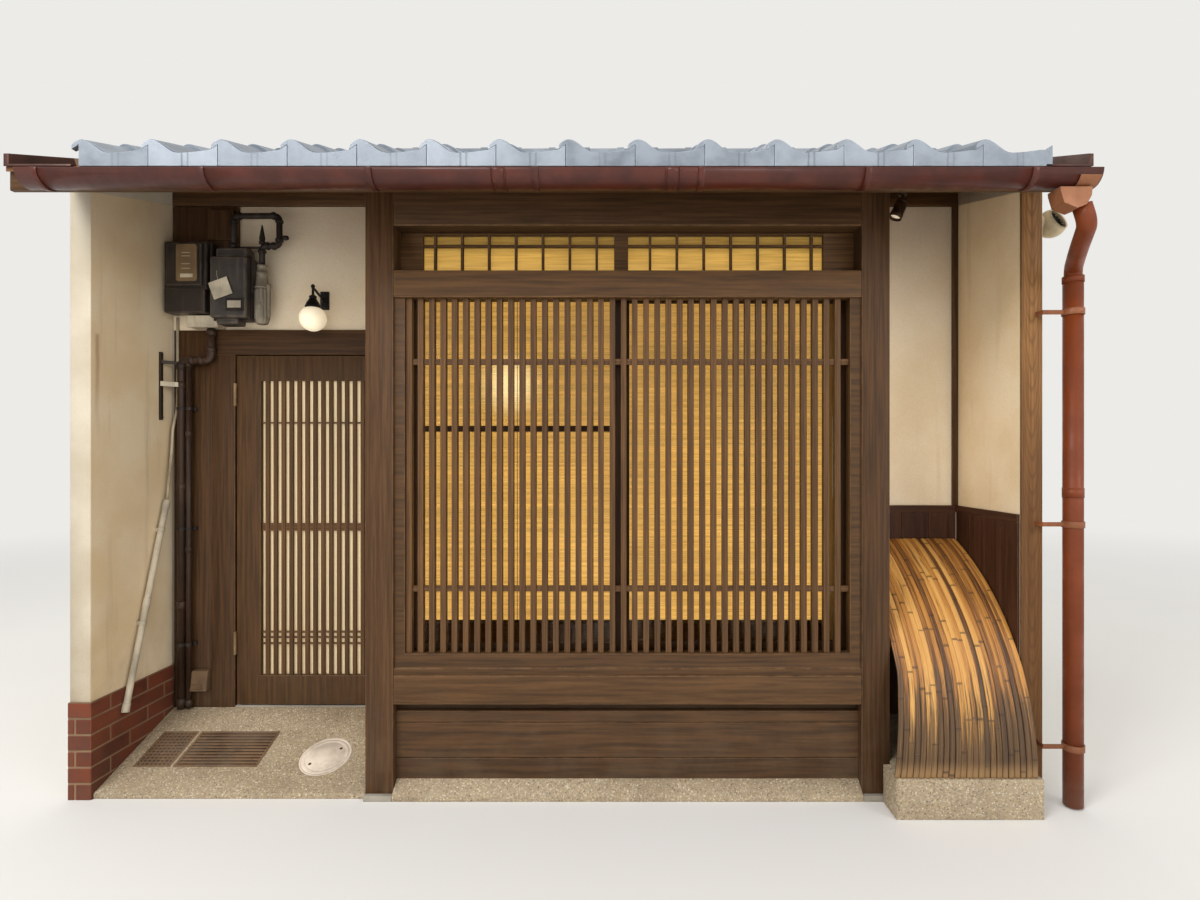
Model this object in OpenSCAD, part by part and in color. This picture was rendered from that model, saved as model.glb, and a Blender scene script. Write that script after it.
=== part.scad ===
// Machiya townhouse: a single-storey timber row house with a latticed bay,
// a recessed entrance on its left and an arched bamboo fence in the recess on its right.
// Millimetres. +X to the right, +Y into the house, +Z up.
// The origin is on the ground, on the line of the bay's front, at the middle of the width.

/* [House] */
// Width over both party walls
house_w = 4150; // [3800:10:4600]
// Depth from the wall line of the recesses to the outside of the back wall
room_d = 3940; // [3400:10:4600]
// Depth of the recesses on either side of the bay
recess_d = 514; // [460:1:600]
// Thickness of the left party wall
left_wall_t = 90; // [75:1:110]
// Thickness of the right party wall
right_wall_t = 98; // [80:1:110]
// Thickness of the plastered walls between posts
wall_t = 90; // [70:1:110]
// Side of the square timber posts
post_w = 120; // [105:1:130]
// How far the posts and beams stand proud of the plaster
post_proud = 14; // [8:1:20]
// Height of the floor inside
floor_h = 200; // [180:1:230]

/* [Entrance] */
// Width of the entrance recess
entrance_w = 1170; // [1120:1:1250]
// Height of the porch floor along its front
porch_front_h = 25; // [20:1:40]
// Height of the porch floor at the door
porch_back_h = 200; // [180:1:220]
// Height of the top of the brick dado
dado_h = 415; // [330:1:480]
// Thickness of the brick dado
dado_t = 10; // [6:1:14]
// Width of the board beside the door post
side_board_w = 197; // [170:1:230]
// Width of the door leaf
door_w = 777; // [740:1:790]
// Thickness of the door leaf
door_t = 36; // [30:1:42]
// Height of the underside of the beam over the door
door_head_z = 1974; // [1900:1:2020]
// Height of the beam over the door
door_head_h = 125; // [100:1:140]
// Gap on the hinge side of the leaf
hinge_gap = 10; // [8:1:12]
// Gap on the lock side of the leaf
lock_gap = 7; // [6:1:10]
// Gap under the leaf
under_door_gap = 7; // [6:1:10]
// Gap over the leaf
over_door_gap = 6; // [5:1:10]
// Width of the stiles of the leaf
door_stile_w = 120; // [100:1:130]
// Height of the top rail of the leaf
door_top_rail_h = 125; // [100:1:140]
// Height of the bottom rail of the leaf
door_bottom_rail_h = 146; // [120:1:170]
// Number of bars in the door's lattice
door_bars = 13; // [9:1:17]
// Width of a bar in the door's lattice
door_bar_w = 23; // [18:1:26]
// Depth of a bar in the door's lattice
door_bar_d = 20; // [14:1:22]

/* [Bay] */
// Height of the base stones under the bay posts
stone_h = 25; // [15:1:35]
// How far a base stone stands out round its post
stone_out = 24; // [10:1:26]
// Height of the pebbled plinth under the board panel
bay_plinth_h = 70; // [55:1:90]
// How far the board panel lies behind the face of the posts
panel_set = 35; // [20:1:45]
// Thickness of the board panel
panel_t = 35; // [25:1:45]
// Height of the underside of the sill beam
sill_z = 402; // [370:1:430]
// Height of the sill beam
sill_h = 124; // [105:1:140]
// Height of the underside of the lintel beam
lintel_z = 2140; // [2080:1:2180]
// Height of the lintel beam
lintel_h = 116; // [100:1:130]
// Depth of the lintel and sill beams
bay_beam_d = 70; // [60:1:74]
// Height of the underside of the beam under the bay's rafters
bay_head_z = 2446; // [2420:1:2480]

/* [Lattice] */
// How far the lattice frame lies behind the face of the posts
lattice_set = 10; // [6:1:14]
// Depth of the lattice frame
lattice_frame_d = 58; // [50:1:60]
// Width of the lattice frame's stiles
lattice_stile_w = 46; // [40:1:54]
// Height of the ledge below the lattice
ledge_h = 29; // [22:1:36]
// Height of the lattice frame's bottom rail
lattice_rail_h = 62; // [50:1:70]
// Number of bars in the lattice
lattice_bars_n = 39; // [31:1:41]
// Width of a lattice bar
bar_w = 24; // [18:1:27]
// Depth of a lattice bar
bar_d = 32; // [26:1:38]
// Gap between the left stile and the first bar
first_gap = 3; // [2:1:10]
// Height of the middle of the lower cross rail
cross_low_z = 891; // [820:1:960]
// Height of the middle of the upper cross rail
cross_high_z = 1869; // [1800:1:1940]
// Height of a cross rail
cross_h = 25; // [18:1:30]
// Depth of a cross rail
cross_d = 14; // [10:1:20]

/* [Windows] */
// Distance from the bay's front to the nearer sash
sash_set = 82; // [80:1:90]
// Thickness of a sash
sash_t = 30; // [26:1:34]
// Width of the stiles and rails of a sash
sash_w = 76; // [64:1:84]
// Gap between the two sashes
sash_gap = 6; // [4:1:8]
// Height of the bottom of the sashes
sash_z0 = 600; // [590:1:610]
// Height of the top of the sashes
sash_z1 = 2170; // [2150:1:2190]
// Height of a sash's bottom rail
sash_bottom_h = 38; // [30:1:50]
// Thickness of a window pane
pane_t = 4; // [3:1:6]
// Height of the lower edge of the blinds
blind_z = 708; // [660:1:760]
// Thickness of a blind
blind_t = 6; // [4:1:10]
// Width of one light in the transom
transom_pitch = 119; // [100:1:140]
// Width of a transom muntin
muntin_w = 11; // [8:1:14]
// Height of the middle of the transom's cross muntin
transom_cross_z = 2391; // [2350:1:2410]
// Width of the window in the back wall
back_window_w = 1200; // [900:10:1400]
// Height of the sill of the back window
back_window_z0 = 950; // [850:10:1100]
// Height of the head of the back window
back_window_z1 = 1950; // [1800:10:2050]

/* [Roof] */
// Height of the underside of the rafters over the bay's front
soffit_z = 2596; // [2580:1:2620]
// Rise of the roof in a hundred
roof_rise = 40; // [35:1:44]
// How far the front eave reaches out past the bay
front_eave = 296; // [260:1:340]
// How far the back eave reaches out past the back wall
back_eave = 450; // [380:5:520]
// Number of rafters on a slope
rafters_n = 13; // [9:1:15]
// Width of a rafter
rafter_w = 45; // [36:1:60]
// Height of a rafter, measured plumb
rafter_h = 68; // [50:1:80]
// Thickness of the roof boards
roof_board_t = 20; // [12:1:24]
// Width that one tile covers
tile_pitch = 265; // [240:1:275]
// Thickness of the tile bed under the troughs
tile_bed_t = 50; // [40:1:60]
// Distance from the left edge of the house to the tiles
tile_left = 258; // [240:1:280]
// Least distance from the tiles to the right edge of the house
tile_right = 182; // [160:1:182]
// Thickness of the metal flashing beside the tiles
flashing_t = 8; // [5:1:12]
// Height of the flashing's raised edge
flashing_up = 45; // [30:1:55]
// Width of the ridge at its foot
ridge_w = 260; // [220:1:300]
// Radius of the round ridge caps
ridge_cap_r = 78; // [65:1:90]
// Height of one layer of flat ridge tiles
ridge_layer_h = 32; // [25:1:40]

/* [Rainwater] */
// Radius of the half-round gutters
gutter_r = 58; // [50:1:62]
// Thickness of the gutter metal
gutter_t = 3; // [2:1:5]
// Number of straps under each gutter
straps_n = 7; // [5:1:9]
// Diameter of the downpipes
pipe_d = 75; // [60:1:80]
// Distance from the house's right side to the front downpipe's middle
pipe_out = 88; // [70:1:100]
// Distance from the bay's front to the front downpipe's middle
pipe_front = 58; // [50:1:70]

/* [Fence] */
// Radius of the lower half of the arched bamboo fence
fence_r = 890; // [860:1:920]
// Radius of its flatter upper half
fence_top_r = 1196; // [1100:1:1300]
// How far the foot of the fence stands in front of the bay
fence_out = 150; // [130:1:170]
// Height of the plinth that the fence stands on
fence_plinth_h = 162; // [140:1:180]
// Number of bamboo slats
slats_n = 24; // [20:1:24]
// Width of a bamboo slat
slat_w = 21; // [16:0.5:21.5]
// Thickness of a bamboo slat
slat_t = 9; // [6:1:12]

/* [Hidden] */
$fn = 48;

half_w = house_w / 2;
inner_x = half_w - left_wall_t;
inner_right = half_w - right_wall_t;
back_y = recess_d + room_d;
slope = roof_rise / 100;
slope_deg = atan(slope);
eave_y = -front_eave;
back_eave_y = back_y + back_eave;
ridge_y = (eave_y + back_eave_y) / 2;

// Bay, between its two posts
bay_left = -inner_x + entrance_w;
bay_in_left = bay_left + post_w;
bay_w = 2238;
bay_right = bay_left + bay_w;
bay_in_right = bay_right - post_w;
line_y = recess_d - post_proud;
line_back_y = line_y + post_w;
wall_beam_z = 2724;

// Underside of the rafters, and top of the roof boards, at a depth y
function soffit(y) = soffit_z + slope * (ridge_y - abs(y - ridge_y));
function board_under(y) = soffit(y) + rafter_h;
function deck(y) = board_under(y) + roof_board_t;

module block(x0, x1, y0, y1, z0, z1)
    translate([x0, y0, z0]) cube([x1 - x0, y1 - y0, z1 - z0]);

// An outline in Y and Z, drawn out along X
module prism_x(x0, x1, outline)
    translate([x0, 0, 0]) rotate([90, 0, 90]) linear_extrude(x1 - x0) polygon(outline);

// An upright piece whose top follows the underside of the rafters
module to_rafters(x0, x1, y0, y1, z0)
    prism_x(x0, x1, [[y0, z0], [y1, z0], [y1, soffit(y1)], [y0, soffit(y0)]]);

// A round bar along a path, with a ball at each bend
ball_out = 1.5;
module tube_run(path, r) {
    for (i = [0 : len(path) - 2]) {
        run = path[i + 1] - path[i];
        turn_z = atan2(run.y, run.x);
        turn_y = acos(run.z / norm(run));
        translate(path[i]) rotate([0, turn_y, turn_z]) cylinder(h = norm(run), r = r);
    }
    for (i = [1 : 1 : len(path) - 2]) translate(path[i]) sphere(r + ball_out);
}

// Foundations and floors

module floor_slab()
    color("dimgray") block(-inner_x, inner_right, line_back_y, back_line_y, 0, floor_h);

module bay_floor()
    color("dimgray") block(bay_in_left, bay_in_right, panel_set + panel_t, line_back_y, 0, floor_h);

module bay_plinth()
    color("tan") prism_x(bay_in_left, bay_in_right, [
        [-stone_out, 0], [-stone_out, stone_h], [panel_set, bay_plinth_h],
        [panel_set + panel_t, bay_plinth_h], [panel_set + panel_t, 0]
    ]);

// The porch floor rises to the door and holds the drain covers
cover_t = 8;
cover_gap = 0.3;
lid_r = 112;
lid_at = [bay_left - 257, 195];
grate_d = 215;
grate_y = 138;
grate_spans = [[-inner_x + 75, -inner_x + 240], [-inner_x + 255, -inner_x + 630]];
porch_left = -inner_x + dado_t;
function porch_z(y) = porch_front_h + (porch_back_h - porch_front_h) * y / line_y;
porch_tilt = atan((porch_back_h - porch_front_h) / line_y);

module on_porch(x, y) translate([x, y, porch_z(y)]) rotate([porch_tilt, 0, 0]) children();

module porch_slab()
    color("tan") difference() {
        prism_x(porch_left, bay_left, [
            [0, 0], [0, porch_front_h], [line_y, porch_back_h], [line_y, 0]
        ]);
        on_porch(lid_at.x, lid_at.y)
            translate([0, 0, -cover_t]) cylinder(h = 2 * cover_t, r = lid_r + cover_gap);
        for (span = grate_spans)
            on_porch(span[0] - cover_gap, grate_y)
                translate([0, -cover_gap, -cover_t])
                    cube([span[1] - span[0] + 2 * cover_gap, grate_d + 2 * cover_gap, 2 * cover_t]);
    }

module drain_covers()
    color("saddlebrown") {
        on_porch(lid_at.x, lid_at.y)
            translate([0, 0, -cover_t]) cylinder(h = cover_t, r = lid_r);
        for (span = grate_spans)
            on_porch(span[0], grate_y)
                translate([0, 0, -cover_t]) cube([span[1] - span[0], grate_d, cover_t]);
    }

// The fence stands on a pebbled plinth that runs out in front of the recess and its post
plinth_lip = 10;
plinth_side = 40;
module fence_plinth() {
    front = -fence_out - plinth_lip;
    color("tan") linear_extrude(fence_plinth_h) polygon([
        [bay_right, -stone_out - 1], [bay_right - plinth_side, -stone_out - 1],
        [bay_right - plinth_side, front], [inner_right, front],
        [inner_right, recess_d], [bay_right, recess_d]
    ]);
}

module post_stones()
    color("gray") for (x = [bay_left, bay_in_right])
        block(x, x + post_w, -stone_out, 0, 0, stone_h);

// Walls

module party_wall(x0, x1)
    prism_x(x0, x1, [
        [0, 0], [back_y, 0], [back_y, board_under(back_y)],
        [ridge_y, board_under(ridge_y)], [0, board_under(0)]
    ]);
module party_walls()
    color("wheat") {
        party_wall(-half_w, -inner_x);
        party_wall(inner_right, half_w);
    }

module brick_dado()
    color("brown") linear_extrude(dado_h) polygon([
        [-half_w, -dado_t], [porch_left, -dado_t], [porch_left, line_y],
        [-inner_x, line_y], [-inner_x, 0], [-half_w, 0]
    ]);

end_post_t = 12;
end_post_w = 88;
module wall_end_post()
    color("peru") prism_x(inner_right, inner_right + end_post_w, [
        [-end_post_t, 0], [0, 0],
        [0, soffit(0)], [-end_post_t, soffit(-end_post_t)]
    ]);

corner_trim_w = 29;
back_post_x = [-inner_x, -back_window_w / 2 - post_w, back_window_w / 2, inner_right - post_w];
back_beam_h = 70;
back_beam_z = soffit(back_y) - back_beam_h;
back_line_y = back_y - post_w;
module wall_posts()
    color("saddlebrown") {
        for (x = [bay_left, bay_in_right])
            block(x, x + post_w, line_y, line_back_y, 0, wall_beam_z);
        for (x = back_post_x)
            block(x, x + post_w, back_line_y, back_y, 0, back_beam_z);
        block(inner_right - corner_trim_w, inner_right, line_y, recess_d, board_top_z, wall_beam_z);
    }

back_wall_y = back_y - post_proud - wall_t;
side_set = (post_w - wall_t) / 2;
board_top_z = 1214;
board_t = 12;

// Plastered walls: over the door, behind the fence, beside the bay and along the back
module plaster_walls()
    color("wheat") {
        block(-inner_x, bay_left, recess_d, recess_d + wall_t, door_head_z + door_head_h, wall_beam_z);
        block(bay_right, inner_right, recess_d, recess_d + wall_t, 0, wall_beam_z);
        for (x = [bay_left, bay_in_right])
            to_rafters(x + side_set, x + side_set + wall_t, post_w, line_y, 0);
        for (i = [0, 2])
            block(back_post_x[i] + post_w, back_post_x[i + 1], back_wall_y, back_wall_y + wall_t,
                  0, back_beam_z);
        for (span = [[0, back_window_z0], [back_window_z1, back_beam_z]])
            block(-back_window_w / 2, back_window_w / 2, back_wall_y, back_wall_y + wall_t,
                  span[0], span[1]);
    }

back_frame_w = 50;
back_bars_n = 9;
module back_window_frame()
    color("saddlebrown") {
        x0 = -back_window_w / 2;
        x1 = back_window_w / 2;
        difference() {
            block(x0, x1, back_wall_y, back_wall_y + wall_t, back_window_z0, back_window_z1);
            block(x0 + back_frame_w, x1 - back_frame_w, back_wall_y - 1, back_wall_y + wall_t + 1,
                  back_window_z0 + back_frame_w, back_window_z1 - back_frame_w);
        }
        pitch = (back_window_w - 2 * back_frame_w) / (back_bars_n + 1);
        for (i = [1 : back_bars_n])
            translate([x0 + back_frame_w + i * pitch - bar_w / 2, back_wall_y + wall_t - bar_d,
                       back_window_z0])
                cube([bar_w, bar_d, back_window_z1 - back_window_z0]);
    }

module recess_boards()
    color("saddlebrown") translate([0, 0, fence_plinth_h])
        linear_extrude(board_top_z - fence_plinth_h) polygon([
            [bay_right, recess_d - board_t], [inner_right - board_t, recess_d - board_t],
            [inner_right - board_t, 0], [inner_right, 0], [inner_right, recess_d], [bay_right, recess_d]
        ]);

module wall_beams()
    color("saddlebrown") {
        prism_x(-inner_x, inner_right, [
            [line_y, wall_beam_z], [line_back_y, wall_beam_z],
            [line_back_y, soffit(line_back_y)], [line_y, soffit(line_y)]
        ]);
        prism_x(-inner_x, inner_right, [
            [back_line_y, back_beam_z], [back_y, back_beam_z],
            [back_y, soffit(back_y)], [back_line_y, soffit(back_line_y)]
        ]);
    }

// Bay

module bay_posts()
    color("saddlebrown") for (x = [bay_left, bay_in_right])
        to_rafters(x, x + post_w, 0, post_w, 0);

module bay_board_panel()
    color("saddlebrown")
        block(bay_in_left, bay_in_right, panel_set, panel_set + panel_t, bay_plinth_h, sill_z);

module bay_beams()
    color("saddlebrown") {
        block(bay_in_left, bay_in_right, 0, bay_beam_d, sill_z, sill_z + sill_h);
        block(bay_in_left, bay_in_right, 0, bay_beam_d, lintel_z, lintel_z + lintel_h);
        to_rafters(bay_in_left, bay_in_right, 0, post_w, bay_head_z);
    }

// Lattice

lattice_z0 = sill_z + sill_h;
lattice_open_z = lattice_z0 + ledge_h + lattice_rail_h;
lattice_in_left = bay_in_left + lattice_stile_w;
lattice_in_right = bay_in_right - lattice_stile_w;
ledge_set = 4;
bars_y = lattice_set + 11;
last_gap = 36.5;
bar_pitch = (lattice_in_right - last_gap - lattice_in_left - first_gap - bar_w) / (lattice_bars_n - 1);

module lattice_frame()
    color("saddlebrown") {
        difference() {
            block(bay_in_left, bay_in_right, lattice_set, lattice_set + lattice_frame_d,
                  lattice_z0, lintel_z);
            block(lattice_in_left, lattice_in_right, lattice_set - 1,
                  lattice_set + lattice_frame_d + 1, lattice_open_z, lintel_z + 1);
        }
        block(bay_in_left, bay_in_right, ledge_set, lattice_set + 1, lattice_z0, lattice_z0 + ledge_h);
    }

module lattice_bars()
    color("saddlebrown") {
        for (i = [0 : lattice_bars_n - 1])
            translate([lattice_in_left + first_gap + i * bar_pitch, bars_y, lattice_open_z])
                cube([bar_w, bar_d, lintel_z - lattice_open_z]);
        for (z = [cross_low_z, cross_high_z])
            block(lattice_in_left, lattice_in_right, bars_y + (bar_d - cross_d) / 2,
                  bars_y + (bar_d + cross_d) / 2, z - cross_h / 2, z + cross_h / 2);
    }

// Windows behind the lattice

window_back_y = sash_set + 2 * sash_t + sash_gap + 10;
window_front_y = bay_beam_d + 2;
rail_lip = 2;
module window_rails()
    color("saddlebrown") {
        block(bay_in_left, bay_in_right, window_front_y, window_back_y, lattice_z0, sash_z0 - rail_lip);
        block(bay_in_left, bay_in_right, window_front_y, window_back_y, sash_z1 + rail_lip,
              lintel_z + lintel_h);
    }

meeting_x = (bay_in_left + bay_in_right) / 2 - 29;
rear_sash_y = sash_set + sash_t + sash_gap;
mid_rail_z = 1570;
mid_rail_h = 26;

module sash(x0, x1, y)
    difference() {
        block(x0, x1, y, y + sash_t, sash_z0, sash_z1);
        block(x0 + sash_w, x1 - sash_w, y - 1, y + sash_t + 1, sash_z0 + sash_bottom_h, sash_z1 - sash_w);
    }

module window_sashes()
    color("saddlebrown") {
        sash(bay_in_left, meeting_x + sash_w / 2, sash_set);
        block(bay_in_left + sash_w, meeting_x - sash_w / 2, sash_set + 4, sash_set + sash_t - 8,
              mid_rail_z, mid_rail_z + mid_rail_h);
        sash(meeting_x - sash_w / 2, bay_in_right, rear_sash_y);
    }

transom_edge = 8;
transom_z0 = lintel_z + lintel_h + transom_edge;
transom_z1 = bay_head_z - transom_edge;
transom_y = 92;
transom_t = 26;
transom_left = bay_in_left + 98;
transom_right = bay_in_right - 135;
transom_mid_w = 62;
transom_mid_x = bay_in_left + 972;
muntins_n = 7;
muntin_starts = [transom_mid_x - 108, transom_mid_x + 128];
module pane(x0, x1, y, z0, z1) block(x0, x1, y, y + pane_t, z0, z1);

module window_glass()
    color("lightblue", 0.5) {
        pane(bay_in_left + sash_w, meeting_x - sash_w / 2, sash_set + sash_t - pane_t,
             sash_z0 + sash_bottom_h, sash_z1 - sash_w);
        pane(meeting_x + sash_w / 2, bay_in_right - sash_w, rear_sash_y + sash_t - pane_t,
             sash_z0 + sash_bottom_h, sash_z1 - sash_w);
        pane(transom_left, transom_right, transom_y + transom_t, transom_z0, transom_z1);
        pane(-back_window_w / 2 + back_frame_w, back_window_w / 2 - back_frame_w, back_wall_y + 20,
             back_window_z0 + back_frame_w, back_window_z1 - back_frame_w);
    }

blind_y = window_back_y;
module bamboo_blinds()
    color("goldenrod") {
        block(bay_in_left + sash_w, meeting_x - sash_w / 2, blind_y, blind_y + blind_t,
              blind_z, lintel_z + lintel_h);
        block(meeting_x + sash_w / 2, bay_in_right - sash_w - 36, blind_y, blind_y + blind_t,
              blind_z, lintel_z + lintel_h);
    }

module transom_frame()
    color("saddlebrown") {
        difference() {
            block(bay_in_left, bay_in_right, transom_y, transom_y + transom_t,
                  lintel_z + lintel_h, bay_head_z);
            block(transom_left, transom_mid_x - transom_mid_w / 2, transom_y - 1,
                  transom_y + transom_t + 1, transom_z0, transom_z1);
            block(transom_mid_x + transom_mid_w / 2, transom_right, transom_y - 1,
                  transom_y + transom_t + 1, transom_z0, transom_z1);
        }
        for (side = [0, 1], i = [0 : muntins_n - 1]) {
            x = muntin_starts[side] + (2 * side - 1) * i * transom_pitch;
            block(x - muntin_w / 2, x + muntin_w / 2, transom_y + 6, transom_y + transom_t,
                  transom_z0 - 1, transom_z1 + 1);
        }
        block(transom_left - 1, transom_right + 1, transom_y + 8, transom_y + transom_t,
              transom_cross_z - muntin_w / 2, transom_cross_z + muntin_w / 2);
    }

// Roof

rafter_end_y = eave_y + 46;
fascia_t = 20;
ridge_beam_w = 120;
ridge_beam_h = 150;

rafter_side = 30;
rafter_x0 = -inner_x + rafter_side;
rafter_pitch = (inner_right - rafter_side - rafter_w - rafter_x0) / (rafters_n - 1);
module rafter_pair(x) {
    prism_x(x, x + rafter_w, [
        [rafter_end_y, soffit(rafter_end_y)],
        [ridge_y - ridge_beam_w / 2, soffit(ridge_y - ridge_beam_w / 2)],
        [ridge_y - ridge_beam_w / 2, board_under(ridge_y - ridge_beam_w / 2)],
        [rafter_end_y, board_under(rafter_end_y)]
    ]);
    back_end = 2 * ridge_y - rafter_end_y;
    prism_x(x, x + rafter_w, [
        [ridge_y + ridge_beam_w / 2, soffit(ridge_y + ridge_beam_w / 2)], [back_end, soffit(back_end)],
        [back_end, board_under(back_end)],
        [ridge_y + ridge_beam_w / 2, board_under(ridge_y + ridge_beam_w / 2)]
    ]);
}

module rafters()
    color("sienna") for (i = [0 : rafters_n - 1])
        rafter_pair(rafter_x0 + i * rafter_pitch);

module ridge_beam()
    color("sienna") prism_x(-inner_x, inner_right, [
        [ridge_y - ridge_beam_w / 2, soffit(ridge_y) - ridge_beam_h],
        [ridge_y + ridge_beam_w / 2, soffit(ridge_y) - ridge_beam_h],
        [ridge_y + ridge_beam_w / 2, board_under(ridge_y + ridge_beam_w / 2)],
        [ridge_y, board_under(ridge_y)],
        [ridge_y - ridge_beam_w / 2, board_under(ridge_y - ridge_beam_w / 2)]
    ]);

ridge_gap = 2;
board_end_y = eave_y + 10;
module roof_boards()
    color("sienna") {
        prism_x(-half_w, half_w, [
            [board_end_y, board_under(board_end_y)], [ridge_y - ridge_gap, board_under(ridge_y - ridge_gap)],
            [ridge_y - ridge_gap, deck(ridge_y - ridge_gap)], [board_end_y, deck(board_end_y)]
        ]);
        back_end = 2 * ridge_y - board_end_y;
        prism_x(-half_w, half_w, [
            [ridge_y + ridge_gap, board_under(ridge_y + ridge_gap)], [back_end, board_under(back_end)],
            [back_end, deck(back_end)], [ridge_y + ridge_gap, deck(ridge_y + ridge_gap)]
        ]);
    }

module eave_boards()
    color("saddlebrown") for (side = [0, 1]) {
        outer = side == 0 ? rafter_end_y - fascia_t : 2 * ridge_y - rafter_end_y;
        low = soffit(rafter_end_y) - 12;
        prism_x(-half_w, half_w, [
            [outer, low], [outer + fascia_t, low],
            [outer + fascia_t, board_under(outer + fascia_t)], [outer, board_under(outer)]
        ]);
    }

// One tile's outline across the slope, as its height over the trough at a distance
// from the lap over its neighbour: a rise to the crest, a fall to the trough, a slow rise
wave_high = 46;
wave_lap = 36;
lap_rise = 23;
crest_at = 39;
trough_at = 166;
function tile_height(u) =
    u <= crest_at ? wave_high - (wave_high - wave_lap) * pow((crest_at - u) / crest_at, 2)
    : u <= trough_at ? wave_high / 2 * (1 + cos(180 * (u - crest_at) / (trough_at - crest_at)))
    : lap_rise * (1 - cos(90 * (u - trough_at) / (tile_pitch - trough_at)));
TILE_STEPS = [0, 13, 26, 39, 58, 76, 94, 111, 129, 147, 166, 191, 216, 241, tile_pitch];
tile_x0 = -half_w + tile_left;
tile_columns = floor((house_w - tile_left - tile_right) / tile_pitch);
tile_x1 = tile_x0 + tile_columns * tile_pitch;

function tile_profile() = concat(
    [[tile_x0, 0]],
    [for (column = [0 : tile_columns - 1], u = TILE_STEPS)
        [tile_x0 + column * tile_pitch + u, (tile_bed_t + tile_height(u)) * cos(slope_deg)]],
    [[tile_x1, 0]]
);

slope_len = (ridge_y - eave_y) / cos(slope_deg);

roof_fit = 0.3;
slope_spare = 400;

// An outline across the slope, drawn from past the ridge to past the eave
module down_slope(outline)
    translate([0, ridge_y, deck(ridge_y) + roof_fit]) rotate([90 + slope_deg, 0, 0])
        translate([0, 0, -slope_spare / 2]) linear_extrude(slope_len + slope_spare) polygon(outline);

module front_slope(outline, y0)
    intersection() {
        down_slope(outline);
        block(-half_w - 1, half_w + 1, y0, ridge_y - ridge_gap, 0, deck(ridge_y) + slope_spare);
    }

module to_back() translate([0, 2 * ridge_y, 0]) mirror([0, 1, 0]) children();

// The tiles lap the same way on both slopes, so the back ones are turned round
module turned_to_back() translate([tile_x0 + tile_x1, 2 * ridge_y, 0]) rotate([0, 0, 180]) children();

module roof_tiles()
    color("slategray") {
        front_slope(tile_profile(), eave_y);
        turned_to_back() front_slope(tile_profile(), eave_y);
    }

flashing_edge_w = 20;
function flashing_profile(x_out, x_in, side) = [
    [x_out, 0], [x_in, 0], [x_in, flashing_t],
    [x_out + side * flashing_edge_w, flashing_t],
    [x_out + side * flashing_edge_w, flashing_up], [x_out, flashing_up]
];
flashing_gap = 1;
module flashing_pair() {
    front_slope(flashing_profile(-half_w, tile_x0 - flashing_gap, 1), eave_y);
    front_slope(flashing_profile(half_w, tile_x1 + flashing_gap, -1), eave_y);
}
module roof_flashings()
    color("maroon") {
        flashing_pair();
        to_back() flashing_pair();
    }

ridge_foot_z = deck(ridge_y) + tile_bed_t + wave_high + roof_fit;
ridge_step = 20;
module ridge_tiles()
    color("slategray") translate([tile_x0, 0, 0]) rotate([90, 0, 90]) linear_extrude(tile_x1 - tile_x0)
        union() {
            polygon([
                [ridge_y - ridge_w / 2, ridge_foot_z - slope * ridge_w / 2], [ridge_y, ridge_foot_z],
                [ridge_y + ridge_w / 2, ridge_foot_z - slope * ridge_w / 2],
                [ridge_y + ridge_w / 2, ridge_foot_z + ridge_layer_h],
                [ridge_y - ridge_w / 2, ridge_foot_z + ridge_layer_h]
            ]);
            for (layer = [1, 2])
                translate([ridge_y - ridge_w / 2 + layer * ridge_step,
                           ridge_foot_z + layer * ridge_layer_h - 1])
                    square([ridge_w - 2 * layer * ridge_step, ridge_layer_h + 1]);
            intersection() {
                translate([ridge_y, ridge_foot_z + 3 * ridge_layer_h]) circle(ridge_cap_r);
                translate([ridge_y - ridge_cap_r, ridge_foot_z + 3 * ridge_layer_h - 1])
                    square([2 * ridge_cap_r, ridge_cap_r + 2]);
            }
        }

// Rainwater

strap_t = 3;
strap_fit = 0.3;
fascia_face_y = rafter_end_y - fascia_t;
strap_set = 0.5;
gutter_y = fascia_face_y - gutter_r - strap_t - strap_fit - strap_set;
gutter_z = deck(eave_y) - 44;
gutter_x0 = -inner_x + 36;
gutter_x1 = inner_x + 60;

module half_ring(r_out, r_in)
    difference() {
        circle(r_out);
        circle(r_in);
        translate([-2 * r_out, 0]) square([4 * r_out, 2 * r_out]);
    }

module half_disc(r)
    intersection() {
        circle(r);
        translate([-r, -r]) square([2 * r, r]);
    }

module along_x(x0, x1, y, z)
    translate([x0, y, z]) rotate([90, 0, 90]) linear_extrude(x1 - x0) children();

module gutter() {
    along_x(gutter_x0, gutter_x1, gutter_y, gutter_z) half_ring(gutter_r, gutter_r - gutter_t);
    for (x = [gutter_x0, gutter_x1 - gutter_t])
        along_x(x, x + gutter_t, gutter_y, gutter_z) half_disc(gutter_r - gutter_t / 2);
}

module gutters()
    color("maroon") {
        gutter();
        to_back() gutter();
    }

strap_w = 24;
strap_up = 24;
strap_down = 12;
module strap(x) {
    along_x(x, x + strap_w, gutter_y, gutter_z)
        half_ring(gutter_r + strap_fit + strap_t, gutter_r + strap_fit);
    block(x, x + strap_w, fascia_face_y - strap_t, fascia_face_y,
          gutter_z - strap_down, gutter_z + strap_up);
}

module strap_row()
    for (i = [0 : straps_n - 1])
        strap(gutter_x0 + 60 + i * (gutter_x1 - gutter_x0 - 320) / (straps_n - 1));

module gutter_straps()
    color("maroon") {
        strap_row();
        to_back() strap_row();
    }

hopper_w = 116;
hopper_d = 96;
hopper_h = 96;
hopper_x = gutter_x1 - hopper_w - 2;
hopper_z = gutter_z - gutter_r - strap_fit - hopper_h;
pipe_x = half_w + pipe_out;
pipe_end_z = 8;
pipe_bore = 2;
pipe_top_z = hopper_z - 140;

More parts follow.
